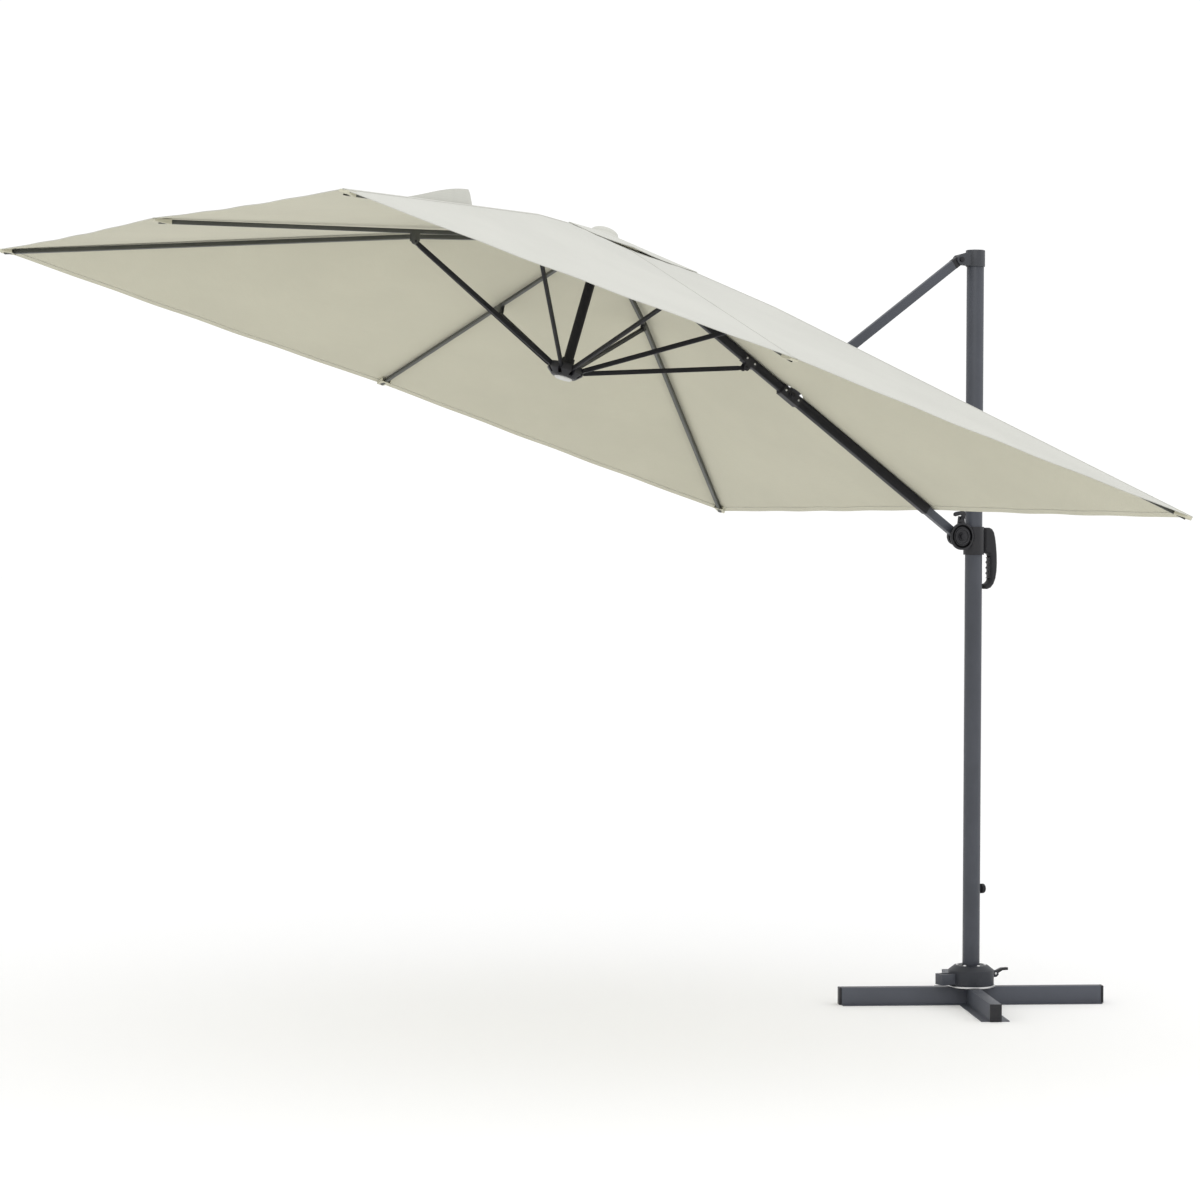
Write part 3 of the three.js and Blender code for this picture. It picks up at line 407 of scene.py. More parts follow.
def blended(tree, factor, a, b):
    made = add_node(tree, "ShaderNodeMix", {"Factor": factor}, data_type="RGBA")
    for socket, value in ((made.inputs[6], a), (made.inputs[7], b)):
        if isinstance(value, bpy.types.NodeSocket):
            tree.links.new(value, socket)
        else:
            socket.default_value = value
    return made.outputs[2]


def new_group(name, inputs, outputs):
    group = bpy.data.node_groups.new(name, "ShaderNodeTree")
    for label, kind, default in inputs:
        socket = group.interface.new_socket(label, in_out="INPUT", socket_type=kind)
        if default is not None:
            socket.default_value = default
    for label, kind in outputs:
        group.interface.new_socket(label, in_out="OUTPUT", socket_type=kind)
    entry = group.nodes.new("NodeGroupInput")
    leave = group.nodes.new("NodeGroupOutput")
    return group, entry.outputs, leave.inputs


FLOAT, VECTOR, COLOUR = "NodeSocketFloat", "NodeSocketVector", "NodeSocketColor"


def grain_group():
    """Fine moulding or coating grain, with slow drifts in tone."""
    group, given, out = new_group(
        "Fine grain",
        [("Vector", VECTOR, None), ("Grain Scale", FLOAT, 900.0), ("Drift Scale", FLOAT, 5.0)],
        [("Height", FLOAT), ("Drift", FLOAT)],
    )
    fine = add_node(group, "ShaderNodeTexNoise", {"Vector": given["Vector"],
                                                  "Scale": given["Grain Scale"],
                                                  "Detail": 2.0, "Roughness": 0.55})
    drift = add_node(group, "ShaderNodeTexNoise", {"Vector": given["Vector"],
                                                   "Scale": given["Drift Scale"],
                                                   "Detail": 4.0, "Roughness": 0.6})
    group.links.new(fine.outputs["Fac"], out["Height"])
    group.links.new(between(group, drift.outputs["Fac"], 0.3, 0.7), out["Drift"])
    return group


def wear_group():
    """Thin rubbed streaks and specks where a surface is handled."""
    group, given, out = new_group(
        "Rubbed wear",
        [("Vector", VECTOR, None), ("Scale", FLOAT, 40.0), ("Amount", FLOAT, 0.3)],
        [("Mask", FLOAT)],
    )
    stretch = add_node(group, "ShaderNodeMapping", {"Vector": given["Vector"],
                                                    "Scale": (1.0, 1.0, 0.18)})
    streak = add_node(group, "ShaderNodeTexNoise", {"Vector": stretch.outputs[0],
                                                    "Scale": given["Scale"],
                                                    "Detail": 6.0, "Roughness": 0.7})
    patch = add_node(group, "ShaderNodeTexNoise", {"Vector": given["Vector"], "Scale": 6.0,
                                                   "Detail": 2.0})
    both = maths(group, "MULTIPLY", between(group, streak.outputs["Fac"], 0.58, 0.74),
                 between(group, patch.outputs["Fac"], 0.45, 0.7))
    group.links.new(maths(group, "MULTIPLY", both, given["Amount"]), out["Mask"])
    return group


def weave_group():
    """A plain weave on a UV map in metres: threads over and under each other."""
    group, given, out = new_group(
        "Plain weave",
        [("UV", VECTOR, None), ("Spacing", FLOAT, 0.0011)],
        [("Height", FLOAT), ("Slub", FLOAT)],
    )
    parts = add_node(group, "ShaderNodeSeparateXYZ", {0: given["UV"]})
    turn = maths(group, "DIVIDE", pi, given["Spacing"])
    across = maths(group, "SINE", maths(group, "MULTIPLY", parts.outputs[0], turn))
    along = maths(group, "SINE", maths(group, "MULTIPLY", parts.outputs[1], turn))
    over = maths(group, "MULTIPLY", across, along)
    threads = maths(group, "ADD", maths(group, "MULTIPLY", over, 0.35),
                    maths(group, "MULTIPLY", maths(group, "ADD", maths(group, "ABSOLUTE", across),
                                                   maths(group, "ABSOLUTE", along)), 0.3))
    slub = add_node(group, "ShaderNodeMapping", {"Vector": given["UV"],
                                                 "Scale": (14.0, 420.0, 1.0)})
    slub_noise = add_node(group, "ShaderNodeTexNoise", {"Vector": slub.outputs[0], "Scale": 1.0,
                                                        "Detail": 3.0})
    group.links.new(threads, out["Height"])
    group.links.new(slub_noise.outputs["Fac"], out["Slub"])
    return group


def stitch_group():
    """One line of stitches at a distance from an edge, as a mask with gaps between the stitches."""
    group, given, out = new_group(
        "Stitch line",
        [("Distance", FLOAT, 0.0), ("Along", FLOAT, 0.0), ("Line At", FLOAT, 0.02),
         ("Stitch", FLOAT, 0.006), ("Half Width", FLOAT, 0.0009)],
        [("Mask", FLOAT)],
    )
    off = maths(group, "ABSOLUTE", maths(group, "SUBTRACT", given["Distance"], given["Line At"]))
    line = maths(group, "SUBTRACT", 1.0, maths(group, "DIVIDE", off, given["Half Width"]),
                 clamp=True)
    wave = maths(group, "SINE", maths(group, "DIVIDE", maths(group, "MULTIPLY", given["Along"],
                                                             2 * pi),
                                      given["Stitch"]))
    dash = between(group, wave, -0.75, -0.35)
    group.links.new(maths(group, "MULTIPLY", line, dash), out["Mask"])
    return group


GROUPS = {}


def group_node(tree, name, inputs):
    makers = {"Fine grain": grain_group, "Rubbed wear": wear_group, "Plain weave": weave_group,
              "Stitch line": stitch_group}
    if name not in GROUPS:
        GROUPS[name] = makers[name]()
    made = tree.nodes.new("ShaderNodeGroup")
    made.node_tree = GROUPS[name]
    for key, value in inputs.items():
        if isinstance(value, bpy.types.NodeSocket):
            tree.links.new(value, made.inputs[key])
        else:
            made.inputs[key].default_value = value
    return made.outputs


def bare_material(name, **constants):
    made = bpy.data.materials.new(name)
    made.use_nodes = True
    tree = made.node_tree
    shader = tree.nodes["Principled BSDF"]
    for key, value in constants.items():
        shader.inputs[key.replace("_", " ")].default_value = value
    return made, tree, shader


def shaded(rgb, factor):
    return tuple(min(1.0, c * factor) for c in rgb) + (1.0,)


def hard_material(name, rgb, roughness, metallic=0.0, grain=900.0, bump=0.12, spread=0.12,
                  wear=0.25,
                  gloss=0.5, worn=1.9):
    """Powder coat, moulded plastic or plated steel: grain in the height, drift and wear in the colour."""
    made, tree, shader = bare_material(name, Metallic=metallic, Specular_IOR_Level=gloss)
    place = add_node(tree, "ShaderNodeTexCoord").outputs["Object"]
    grains = group_node(tree, "Fine grain", {"Vector": place, "Grain Scale": grain,
                                             "Drift Scale": 4.0})
    rubbed = group_node(tree, "Rubbed wear", {"Vector": place, "Scale": 55.0, "Amount": wear})
    tone = blended(tree, grains["Drift"], shaded(rgb, 1 - spread), shaded(rgb, 1 + spread))
    tone = blended(tree, rubbed["Mask"], tone, shaded(rgb, worn))
    tree.links.new(tone, shader.inputs["Base Color"])
    rough = between(tree, grains["Drift"], 0.0, 1.0, roughness - 0.05, roughness + 0.07)
    tree.links.new(maths(tree, "SUBTRACT", rough, maths(tree, "MULTIPLY", rubbed["Mask"], 0.15),
                         clamp=True),
                   shader.inputs["Roughness"])
    relief = add_node(tree, "ShaderNodeBump", {"Height": grains["Height"], "Strength": bump,
                                               "Distance": 0.0004})
    tree.links.new(relief.outputs["Normal"], shader.inputs["Normal"])
    return made


def cloth_material(name, rgb, hem_line, tape_line, bump=0.25):
    """Woven cloth on a UV map in metres, with stitch lines beside the rim and beside each seam."""
    settings = cloth_settings()
    made, tree, shader = bare_material(name, Roughness=0.88, Sheen_Weight=0.12, Sheen_Roughness=0.6,
                                       Specular_IOR_Level=0.25)
    uv = add_node(tree, "ShaderNodeUVMap", uv_map="cloth").outputs["UV"]
    place = add_node(tree, "ShaderNodeTexCoord").outputs["Object"]
    weave = group_node(tree, "Plain weave", {"UV": uv, "Spacing": settings.weave})
    grains = group_node(tree, "Fine grain", {"Vector": place, "Grain Scale": 220.0,
                                             "Drift Scale": 2.2})
    rim = add_node(tree, "ShaderNodeAttribute", attribute_name="from_rim").outputs["Fac"]
    rim_along = add_node(tree, "ShaderNodeAttribute", attribute_name="along_rim").outputs["Fac"]
    rib = add_node(tree, "ShaderNodeAttribute", attribute_name="from_rib").outputs["Fac"]
    rib_along = add_node(tree, "ShaderNodeAttribute", attribute_name="along_rib").outputs["Fac"]
    stitches = None
    for distance, along, at in ((rim, rim_along, hem_line), (rim, rim_along, 0.004),
                                (rib, rib_along, tape_line)):
        mask = group_node(tree, "Stitch line", {"Distance": distance, "Along": along, "Line At": at,
                                                "Stitch": settings.stitch})["Mask"]
        stitches = mask if stitches is None else maths(tree, "MAXIMUM", stitches, mask)
    tone = blended(tree, grains["Drift"], shaded(rgb, 0.965), shaded(rgb, 1.03))
    tone = blended(tree, maths(tree, "MULTIPLY", between(tree, weave["Slub"], 0.35, 0.7), 0.4),
                   tone,
                   shaded(rgb, 0.94))
    # Painted shade: the low parts of the weave, between the threads, are darkened towards 72 per cent of
    # the cloth's colour
    gap = maths(tree, "SUBTRACT", 1.0, between(tree, weave["Height"], 0.0, 0.35))
    tone = blended(tree, maths(tree, "MULTIPLY", gap, 0.35), tone, shaded(rgb, 0.72))
    tone = blended(tree, maths(tree, "MULTIPLY", stitches, 0.8), tone,
                   tuple(finishes().thread) + (1.0,))
    tree.links.new(tone, shader.inputs["Base Color"])
    height = maths(tree, "ADD", weave["Height"], maths(tree, "MULTIPLY", stitches, 1.5))
    relief = add_node(tree, "ShaderNodeBump", {"Height": height, "Strength": bump,
                                               "Distance": 0.0003})
    tree.links.new(relief.outputs["Normal"], shader.inputs["Normal"])
    return made


MATERIALS = {}


def material(name):
    """The object's materials, each made when it is first asked for."""
    if name not in MATERIALS:
        colours, cloth = finishes(), cloth_settings()
        makers = {
            "frame_powder_coat": lambda: hard_material(
                name, colours.frame_paint, 0.42, grain=1300, bump=0.2, wear=0.1, gloss=0.3),
            # Painted shade: the frame's powder coat darkened for the parts in the canopy's shade
            "shade_darkened_powder_coat": lambda: hard_material(
                name, colours.shade_darkened_paint, 0.5, grain=1300, bump=0.2, wear=0.08, gloss=0.25),
            # Painted light: the rib coat carries a green tint and lightness from the cloth's light
            "rib_powder_coat_cloth_lit": lambda: hard_material(
                name, colours.rib_paint_cloth_lit, 0.45, grain=1300, bump=0.2, wear=0.1, gloss=0.4),
            "cast_coat": lambda: hard_material(
                name, shaded(colours.frame_paint, 0.6)[:3], 0.45, grain=700, bump=0.3, wear=0.12),
            "black_steel": lambda: hard_material(
                name, colours.plastic, 0.34, metallic=0.4, grain=1600, bump=0.1, wear=0.2,
                worn=0.5),
            "base_powder_coat": lambda: hard_material(
                name, colours.base_paint, 0.5, grain=700, bump=0.35, wear=0.2),
            "housing_coat": lambda: hard_material(
                name, shaded(colours.base_paint, 0.45)[:3], 0.5, grain=700, bump=0.35, wear=0.15,
                gloss=0.35),
            "black_moulding": lambda: hard_material(
                name, colours.plastic, 0.46, grain=1100, bump=0.25, spread=0.18, wear=0.1,
                gloss=0.4),
            "grip_moulding": lambda: hard_material(
                name, colours.plastic, 0.6, grain=500, bump=0.5, spread=0.15, wear=0.1, gloss=0.35),
            "grey_moulding": lambda: hard_material(
                name, colours.cap, 0.5, grain=1100, bump=0.2, spread=0.04, wear=0.1, worn=0.8),
            "zinc_plate": lambda: hard_material(
                name, colours.steel, 0.3, metallic=1.0, grain=1600, bump=0.1, spread=0.1, wear=0.3,
                worn=0.7),
            "canopy_outside": lambda: cloth_material(name, colours.canopy_top, cloth.hem,
                                                     cloth.tape * 0.4),
            # Painted shade: the inside cloth is a darker copy of the outside cloth, for the shaded
            # underside
            "canopy_inside_shaded": lambda: cloth_material(name, colours.canopy_under_shade, cloth.hem,
                                                    cloth.tape * 0.4),
        }
        MATERIALS[name] = makers[name]()
    return MATERIALS[name]


# ------------------------------------------------------------------ cloth surfaces
def rim_point(is_corner, across, half):
    """A point on the square's rim in a rib's own frame; across runs from -1 to 1 between gores."""
    m = abs(across)
    tip = (half * 2 ** 0.5, 0) if is_corner else (half, 0)
    side = (half * 0.75 * 2 ** 0.5, half * 0.25 * 2 ** 0.5) if is_corner else (half, half / 2)
    x, y = ((1 - m) * a + m * b for a, b in zip(tip, side))
    return x, y if across >= 0 else -y


def canopy_surface(is_corner, across, out, lift, drop_mid, drop_corner, half, sag, bow, ripple=0.0,
                   rise=0.0):
    """A point of the stretched cloth in a rib's own frame; out is 0 at the apex and 1 at the rim."""
    gore = 1 - abs(across) / 2 if is_corner else abs(across) / 2  # 0 on the middle rib, 1 on the corner
    x, y = rim_point(is_corner, across, half)
    hang = sin(pi * gore)
    drawn = out * (1 - bow / half * hang * out ** 3)
    z = lift - out * (drop_mid + (drop_corner - drop_mid) * gore) - sag * hang * out ** 1.4
    z += rise * gore * (out / BEND if out < BEND else (1 - out) / (1 - BEND))
    if ripple:
        near_rim = exp(-((1 - out) / 0.10) ** 2)
        z += ripple * near_rim * sin(9 * pi * gore) * hang
        near_vent = exp(-((out - VENT_HOLE) / 0.08) ** 2)
        z += 0.6 * ripple * near_vent * sin(6 * pi * gore) * hang
    return Vector((x * drawn, y * drawn, z))


def cloth_mesh(name, rows, values, thickness, place, materials, offset=1, skip=None):
    """A sheet from rows of points, each with (u, v) and (from_rim, along_rim, from_rib, along_rib)."""
    mesh = bpy.data.meshes.new(name)
    wide = len(rows[0])
    points = [p for row in rows for p in row]
    flat = [v for row in values for v in row]
    faces = []
    for r in range(len(rows) - 1):
        for c in range(wide - 1):
            if c == skip:  # the two halves meet here, apart from a slit between them
                continue
            a = r * wide + c
            faces.append((a, a + wide, a + wide + 1, a + 1))
    mesh.from_pydata([place @ p for p in points], [], faces)
    uv = mesh.uv_layers.new(name="cloth")
    for loop in mesh.loops:
        uv.data[loop.index].uv = flat[loop.vertex_index][0]
    for k, label in enumerate(("from_rim", "along_rim", "from_rib", "along_rib")):
        layer = mesh.attributes.new(label, "FLOAT", "POINT")
        layer.data.foreach_set("value", [v[1][k] for v in flat])
    obj = bpy.data.objects.new(name, mesh)
    bpy.context.scene.collection.objects.link(obj)
    for made in materials:
        mesh.materials.append(made)
    edit(obj)
    bpy.ops.mesh.select_all(action="SELECT")
    bpy.ops.mesh.remove_doubles(threshold=1e-6)
    bpy.ops.mesh.normals_make_consistent(inside=False)
    done()
    up = place.to_3x3() @ Vector((0, 0, 1))
    if sum((p.normal.dot(up) for p in mesh.polygons)) < 0:
        edit(obj)
        bpy.ops.mesh.select_all(action="SELECT")
        bpy.ops.mesh.flip_normals()
        done()
    # The underside shell takes the last material; on the canopy that is the inside cloth with its painted
    # shade
    apply_modifier(obj, "SOLIDIFY", thickness=thickness, offset=offset,
                   material_offset=len(materials) - 1,
                   use_even_offset=True)
    smooth(obj, 55)
    return obj


def across_at(is_corner, y, out):
    """Where along its gore a small sideways distance from the rib falls."""
    return y / (out * HALF_WIDTH * (0.25 * 2 ** 0.5 if is_corner else 0.5))


def turned_place(azimuth):
    return CANOPY @ Matrix.Rotation(azimuth, 4, "Z")


def main_cloth(is_corner, across, out, above=0.0):
    settings = cloth_settings()
    point = canopy_surface(is_corner, across, out, CLOTH_LIFT, DROP_MID, DROP_CORNER, HALF_WIDTH,
                           settings.sag, settings.bow, RIPPLE, BEND_RISE)
    return point + Vector((0, 0, above))


def vent_cloth(is_corner, across, out, above=0.0):
    drop = VENT_PEAK - VENT_RIM
    point = canopy_surface(is_corner, across, out, VENT_PEAK, drop, drop, VENT_HALF, 0.004, 0.005)
    return point + Vector((0, 0, above))


RIPPLE = 0.0012
STRAP_START, STRAP_END = 0.81, 0.535
SLOPE = hypot(1, DROP_MID / HALF_WIDTH)


def facts(is_corner, across, out, half, point):
    """The cloth's UV and its distances from the rim and from the rib, all in metres."""
    return ((point.y, point.x * SLOPE),
            ((1 - out) * half * SLOPE, abs(across) * half / 2, abs(point.y), point.x * SLOPE))


def slit_range():
    """Where the brace comes down through the arm's cloth, as shares of the way out to the rim."""
    top, low = TO_CANOPY @ pivot("lift"), TO_CANOPY @ pivot("arm_pivot")
    rate = DROP_MID / HALF_WIDTH
    above = [p.z - (CLOTH_LIFT - rate * p.x) for p in (top, low)]
    crossing = top.lerp(low, above[0] / (above[0] - above[1]))
    return (crossing.x - 0.036) / HALF_WIDTH, (crossing.x + 0.036) / HALF_WIDTH


def slit_half_width(out):
    start, end = slit_range()
    if not start < out < end:
        return 0.0
    return 0.031 * sin(pi * (out - start) / (end - start)) ** 0.55


def gore_rows(surface, is_corner, first, half, steps, columns, above=0.0, slit=False):
    """Rows of points and their facts, from the vent's edge to the rim."""
    shares = [first + (1 - first) * i / steps for i in range(steps + 1)]
    if slit:
        start, end = slit_range()
        shares = sorted(set(shares) | {start + (end - start) * i / 24 for i in range(25)})
    rows, values = [], []
    for out in shares:
        row, facts_row = [], []
        for side in (-1, 1):
            for c in range(columns + 1):
                m = 1 - c / columns if side < 0 else c / columns
                if m == 0 and side > 0 and not slit:
                    continue
                opening = slit_half_width(out) if slit else 0.0
                edge = abs(surface(is_corner, 1, out).y)
                m = m + (1 - m) * opening / edge
                point = surface(is_corner, side * m, out, above)
                row.append(point)
                facts_row.append(facts(is_corner, m, out, half, point))
        rows.append(row)
        values.append(facts_row)
    return rows, values


def strip_rows(surface, is_corner, shares, sideways, above):
    """Rows for a narrow strip along a rib, with its columns at fixed distances from the rib."""
    rows, values = [], []
    for out in shares:
        row = [surface(is_corner, across_at(is_corner, y, out), out, above) for y in sideways]
        rows.append(row)
        values.append([((p.y, p.x * SLOPE), (1.0, 0.0, abs(p.y), p.x * SLOPE)) for p in row])
    return rows, values


def ride_rib_cloth(obj, name):
    """The cloth follows its rib, riding on the rib's body."""
    azimuth, body, joint = RADII[name]
    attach(obj, body)
    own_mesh(obj)
    return obj


# ------------------------------------------------------------------ operators
class PARASOL_OT_base(bpy.types.Operator):
    """The crossed legs with their end caps, and the plate that the mast swivels on"""

    bl_idname = "parasol.base"
    bl_label = "Base"

    def execute(self, context):
        paint, plastic = material("base_powder_coat"), material("black_moulding")
        for name in ("leg_long", "leg_near", "leg_far"):
            fitted(name, 0.0015, "base", "base_paint", paint, segments=3)
        for name in ("right", "far", "left", "near"):
            node = "end_cap_" + name
            fitted(node, 0.0022, "base", "black_plastic", plastic, segments=3)
        fitted("swivel_plate", 0.001, "base", "pin_steel", material("zinc_plate"))
        bolt = screw("bolt_pattern", 0.009, 0.006)
        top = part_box("leg_long")[1].z
        heads = []
        for turn in range(4):
            angle = pi / 4 + turn * pi / 2 + LEG_TURN
            across, along = LEG_BOLT_REACH * cos(angle), LEG_BOLT_REACH * sin(angle)
            spot = Matrix.Translation((across, along, top))
            heads.append(copied(bolt, f"leg_bolt_{turn}", spot))
        drop_template(bolt)
        finish_piece(joined("leg_bolts", heads), "base", "pin_steel", material("zinc_plate"))
        return {"FINISHED"}


class PARASOL_OT_housing(bpy.types.Operator):
    """The swivel housing with its bolts, the foot pedal and the latch bracket"""

    bl_idname = "parasol.housing"
    bl_label = "Swivel housing"

    def execute(self, context):
        fitted("swivel_housing", 0.003, "mast", "housing_iron", material("housing_coat"),
               segments=3)
        fitted("latch_bracket", 0.002, "mast", "mast_paint", material("frame_powder_coat"),
               segments=3)
        fitted("foot_pedal", 0.002, "pedal", "black_plastic", material("black_moulding"),
               segments=3)
        low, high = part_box("swivel_housing")
        pattern = screw("housing_bolt_pattern", 0.0055, 0.004)
        heads = []
        for turn in range(6):
            angle = radians(30 + 60 * turn)
            spot = Matrix.Translation((HOUSING_BOLT_REACH * cos(angle),
                                       HOUSING_BOLT_REACH * sin(angle),
                                         high.z - 0.0005))
            heads.append(copied(pattern, f"housing_bolt_{turn}", spot))
        drop_template(pattern)
        finish_piece(joined("housing_bolts", heads), "mast", "pin_steel", material("zinc_plate"))
        hinge = pivot("pedal_press")
        ends = [copied_rivet(f"pedal_rivet_{side}", 0.005, 0.0025,
                             hinge + Vector((0, side * 0.0144, 0)), (0, side, 0)) for side in (-1,
                                                                                               1)]
        finish_piece(joined("pedal_rivets", ends), "mast", "pin_steel", material("zinc_plate"))
        return {"FINISHED"}


def copied_rivet(name, radius, height, centre, direction):
    return place_piece(rivet(name, radius, height), facing(centre, direction))


class PARASOL_OT_mast(bpy.types.Operator):
    """The mast tube, its head with the brace pin, and the fluted locking knob"""

    bl_idname = "parasol.mast"
    bl_label = "Mast"

    def execute(self, context):
        fitted("mast_tube", 0.0006, "mast", "mast_paint", material("frame_powder_coat"))
        fitted("mast_head", 0.004, "mast", "frame_aluminium", material("cast_coat"), segments=3)
        fitted("head_pin", 0.0012, "mast", "pin_steel", material("black_steel"))
        low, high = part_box("mast_knob")
        radius = (high.y - low.y) / 2
        centre_z = (high.z + low.z) / 2
        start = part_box("mast_tube")[1].x + 0.0004
        knob = turned("knob_grip", [
            (radius * 0.55, 0), (radius * 0.62, 0.004), (radius * 0.96, 0.006), (radius, 0.0085),
            (radius, high.x - start - 0.003), (radius * 0.9, high.x - start),
            (radius * 0.62, high.x - start),
            (radius * 0.56, high.x - start - 0.0015), (radius * 0.1, high.x - start - 0.0015),
        ], sides=40)
        edit(knob)
        bpy.ops.mesh.select_mode(type="FACE")
        bpy.ops.mesh.select_all(action="DESELECT")
        shape = bmesh.from_edit_mesh(knob.data)
        for face in shape.faces:
            centre, normal = face.calc_center_median(), face.normal
            turn = int((atan2(centre.y, centre.x) / (2 * pi) * 40) // 1)
            long_side = 0.0085 < centre.z < high.x - start - 0.003
            if long_side and hypot(normal.x, normal.y) > 0.9 and turn % 4 == 0:
                face.select_set(True)
        bmesh.update_edit_mesh(knob.data)
        bpy.ops.mesh.inset(thickness=0.0004, depth=-0.0016)
        done()
        round_edges(knob, 0.0005)
        place_piece(knob, facing((start, 0, centre_z), (1, 0, 0)))
        finish_piece(knob, "knob", "black_plastic", material("grip_moulding"), "mast_knob")
        return {"FINISHED"}


class PARASOL_OT_brace(bpy.types.Operator):
    """The brace tube between the mast head and the arm, with its plastic ends"""

    bl_idname = "parasol.brace"
    bl_label = "Brace"

    def execute(self, context):
        fitted("brace_tube", 0.0005, "brace", "frame_aluminium", material("frame_powder_coat"))
        for node in ("brace_end_upper", "brace_end_lower"):
            fitted(node, 0.0015, "brace", "black_plastic", material("black_moulding"))
        return {"FINISHED"}


class PARASOL_OT_arm(bpy.types.Operator):
    """The telescoped arm with its sleeve, saddle, knuckle bracket, pins and screws"""

    bl_idname = "parasol.arm"
    bl_label = "Arm"

    def execute(self, context):
        # The arm tubes take the powder coat darkened as painted shade under the canopy
        plastic, paint = material("black_moulding"), material("shade_darkened_powder_coat")
        fitted("arm_sleeve", 0.003, "arm", "frame_aluminium", material("frame_powder_coat"),
               segments=3)
        for node, rounding in (("arm_tip", 0.001), ("brace_saddle", 0.0012),
                               ("knuckle_bracket", 0.0005)):
            fitted(node, rounding, "arm", "black_plastic", plastic, segments=3)
        for node in ("arm_tube_lower", "arm_tube_upper"):
            fitted(node, 0.0005, "arm", "frame_aluminium", paint)
        fitted("brace_pin", 0.0012, "arm", "pin_steel", material("black_steel"))
        to_arm = ARM.inverted()
        knuckle = (to_arm @ pivot("strut_arm_pivot")).z
        saddle = (to_arm @ pivot("arm_pivot")).z
        pattern = screw("arm_screw_pattern", 0.0036, 0.002)
        side_of = {"knuckle": half_width_on_arm("knuckle_bracket"),
                   "saddle": half_width_on_arm("brace_saddle")}
        spots = [(knuckle - 0.0175, "knuckle"), (knuckle + 0.0175, "knuckle"),
                 (saddle - 0.0295, "saddle"),
                 (saddle + 0.0295, "saddle")]
        heads = []
        for k, (along, where) in enumerate(spots):
            for side in (-1, 1):
                centre = ARM @ Vector((0, side * side_of[where], along))
                heads.append(copied(pattern, f"arm_screw_{k}_{side + 1}",
                                    facing(centre, (0, side, 0))))
        drop_template(pattern)
        finish_piece(joined("arm_screws", heads), "arm", "pin_steel", material("zinc_plate"))
        hinge = pivot("strut_arm_pivot")
        ends = [copied_rivet(f"knuckle_rivet_{side + 1}", 0.0062, 0.003,
                             hinge + Vector((0, side * side_of["knuckle"], 0)), (0, side, 0))
                for side in (-1, 1)]
        finish_piece(joined("knuckle_rivets", ends), "arm", "pin_steel", material("black_steel"))
        return {"FINISHED"}


def half_width_on_arm(node):
    low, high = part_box(node)
    return (high.y - low.y) / 2


class PARASOL_OT_slider(bpy.types.Operator):
    """The slider on the mast with its ratchet disc, through bolt and lock lever"""

    bl_idname = "parasol.slider"
    bl_label = "Slider"

    def execute(self, context):
        plastic = material("black_moulding")
        fitted("slider", 0.0025, "slider", "black_plastic", plastic, segments=3)
        fitted("slider_bolt", 0.0015, "slider", "pin_steel", material("black_steel"))
        fitted("lock_lever", 0.0022, "lever", "black_plastic", plastic, segments=3)
        finish_piece(self.ratchet_disc(), "slider", "black_plastic", plastic, "tilt_disc")
        hinge = pivot("lever_turn")
        low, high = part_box("lock_lever")
        head = copied_rivet("lever_rivet", 0.006, 0.003, Vector((hinge.x, low.y, hinge.z)),
                            (0, -1, 0))
        finish_piece(head, "lever", "pin_steel", material("black_steel"))
        return {"FINISHED"}

    def ratchet_disc(self):
        """A wheel with teeth round its rim and stepped rings on its face."""
        low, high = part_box("tilt_disc")
        thick = high.y - low.y
        outer = (high.z - low.z) / 2
        teeth, depth = 32, 0.0025
        bore = 0.0068
        disc = turned("ratchet_disc", [
            (bore, 0), (outer - depth, 0), (outer - depth, thick * 0.72),
            (outer - 0.007, thick * 0.72),
            (outer - 0.009, thick * 0.5), (0.030, thick * 0.5), (0.0285, thick * 0.85),
            (0.024, thick * 0.85),
            (0.0225, thick * 0.6), (0.016, thick * 0.6), (0.0145, thick), (bore, thick), (bore, 0),
        ], sides=teeth * 2, closed=True)
        edit(disc)
        rim = outer - depth

        def on_rim(centre, normal):
            turn = int(atan2(centre.y, centre.x) % (2 * pi) / (2 * pi) * teeth * 2)
            return hypot(centre.x, centre.y) > rim * 0.99 and hypot(normal.x,
                                                                    normal.y) > 0.9 and turn % 2 == 0

        pick_faces(disc, on_rim)
        bpy.ops.mesh.extrude_faces_move(TRANSFORM_OT_shrink_fatten={"value": depth})
        bpy.ops.mesh.inset(thickness=0.0007)
        done()
        round_edges(disc, 0.0005, 2)
        return place_piece(disc, facing((SLIDER_PIVOT.x, high.y, SLIDER_PIVOT.z), (0, -1, 0)))


class PARASOL_OT_handle(bpy.types.Operator):
    """The hook-shaped hand grip and its scalloped trigger"""

    bl_idname = "parasol.handle"
    bl_label = "Handle"

    def execute(self, context):
        fitted("handle_grip", 0.003, "slider", "black_plastic", material("grip_moulding"),
               segments=3)
        fitted("handle_trigger", 0.0018, "trigger", "black_plastic", material("black_moulding"),
               segments=3)
        return {"FINISHED"}


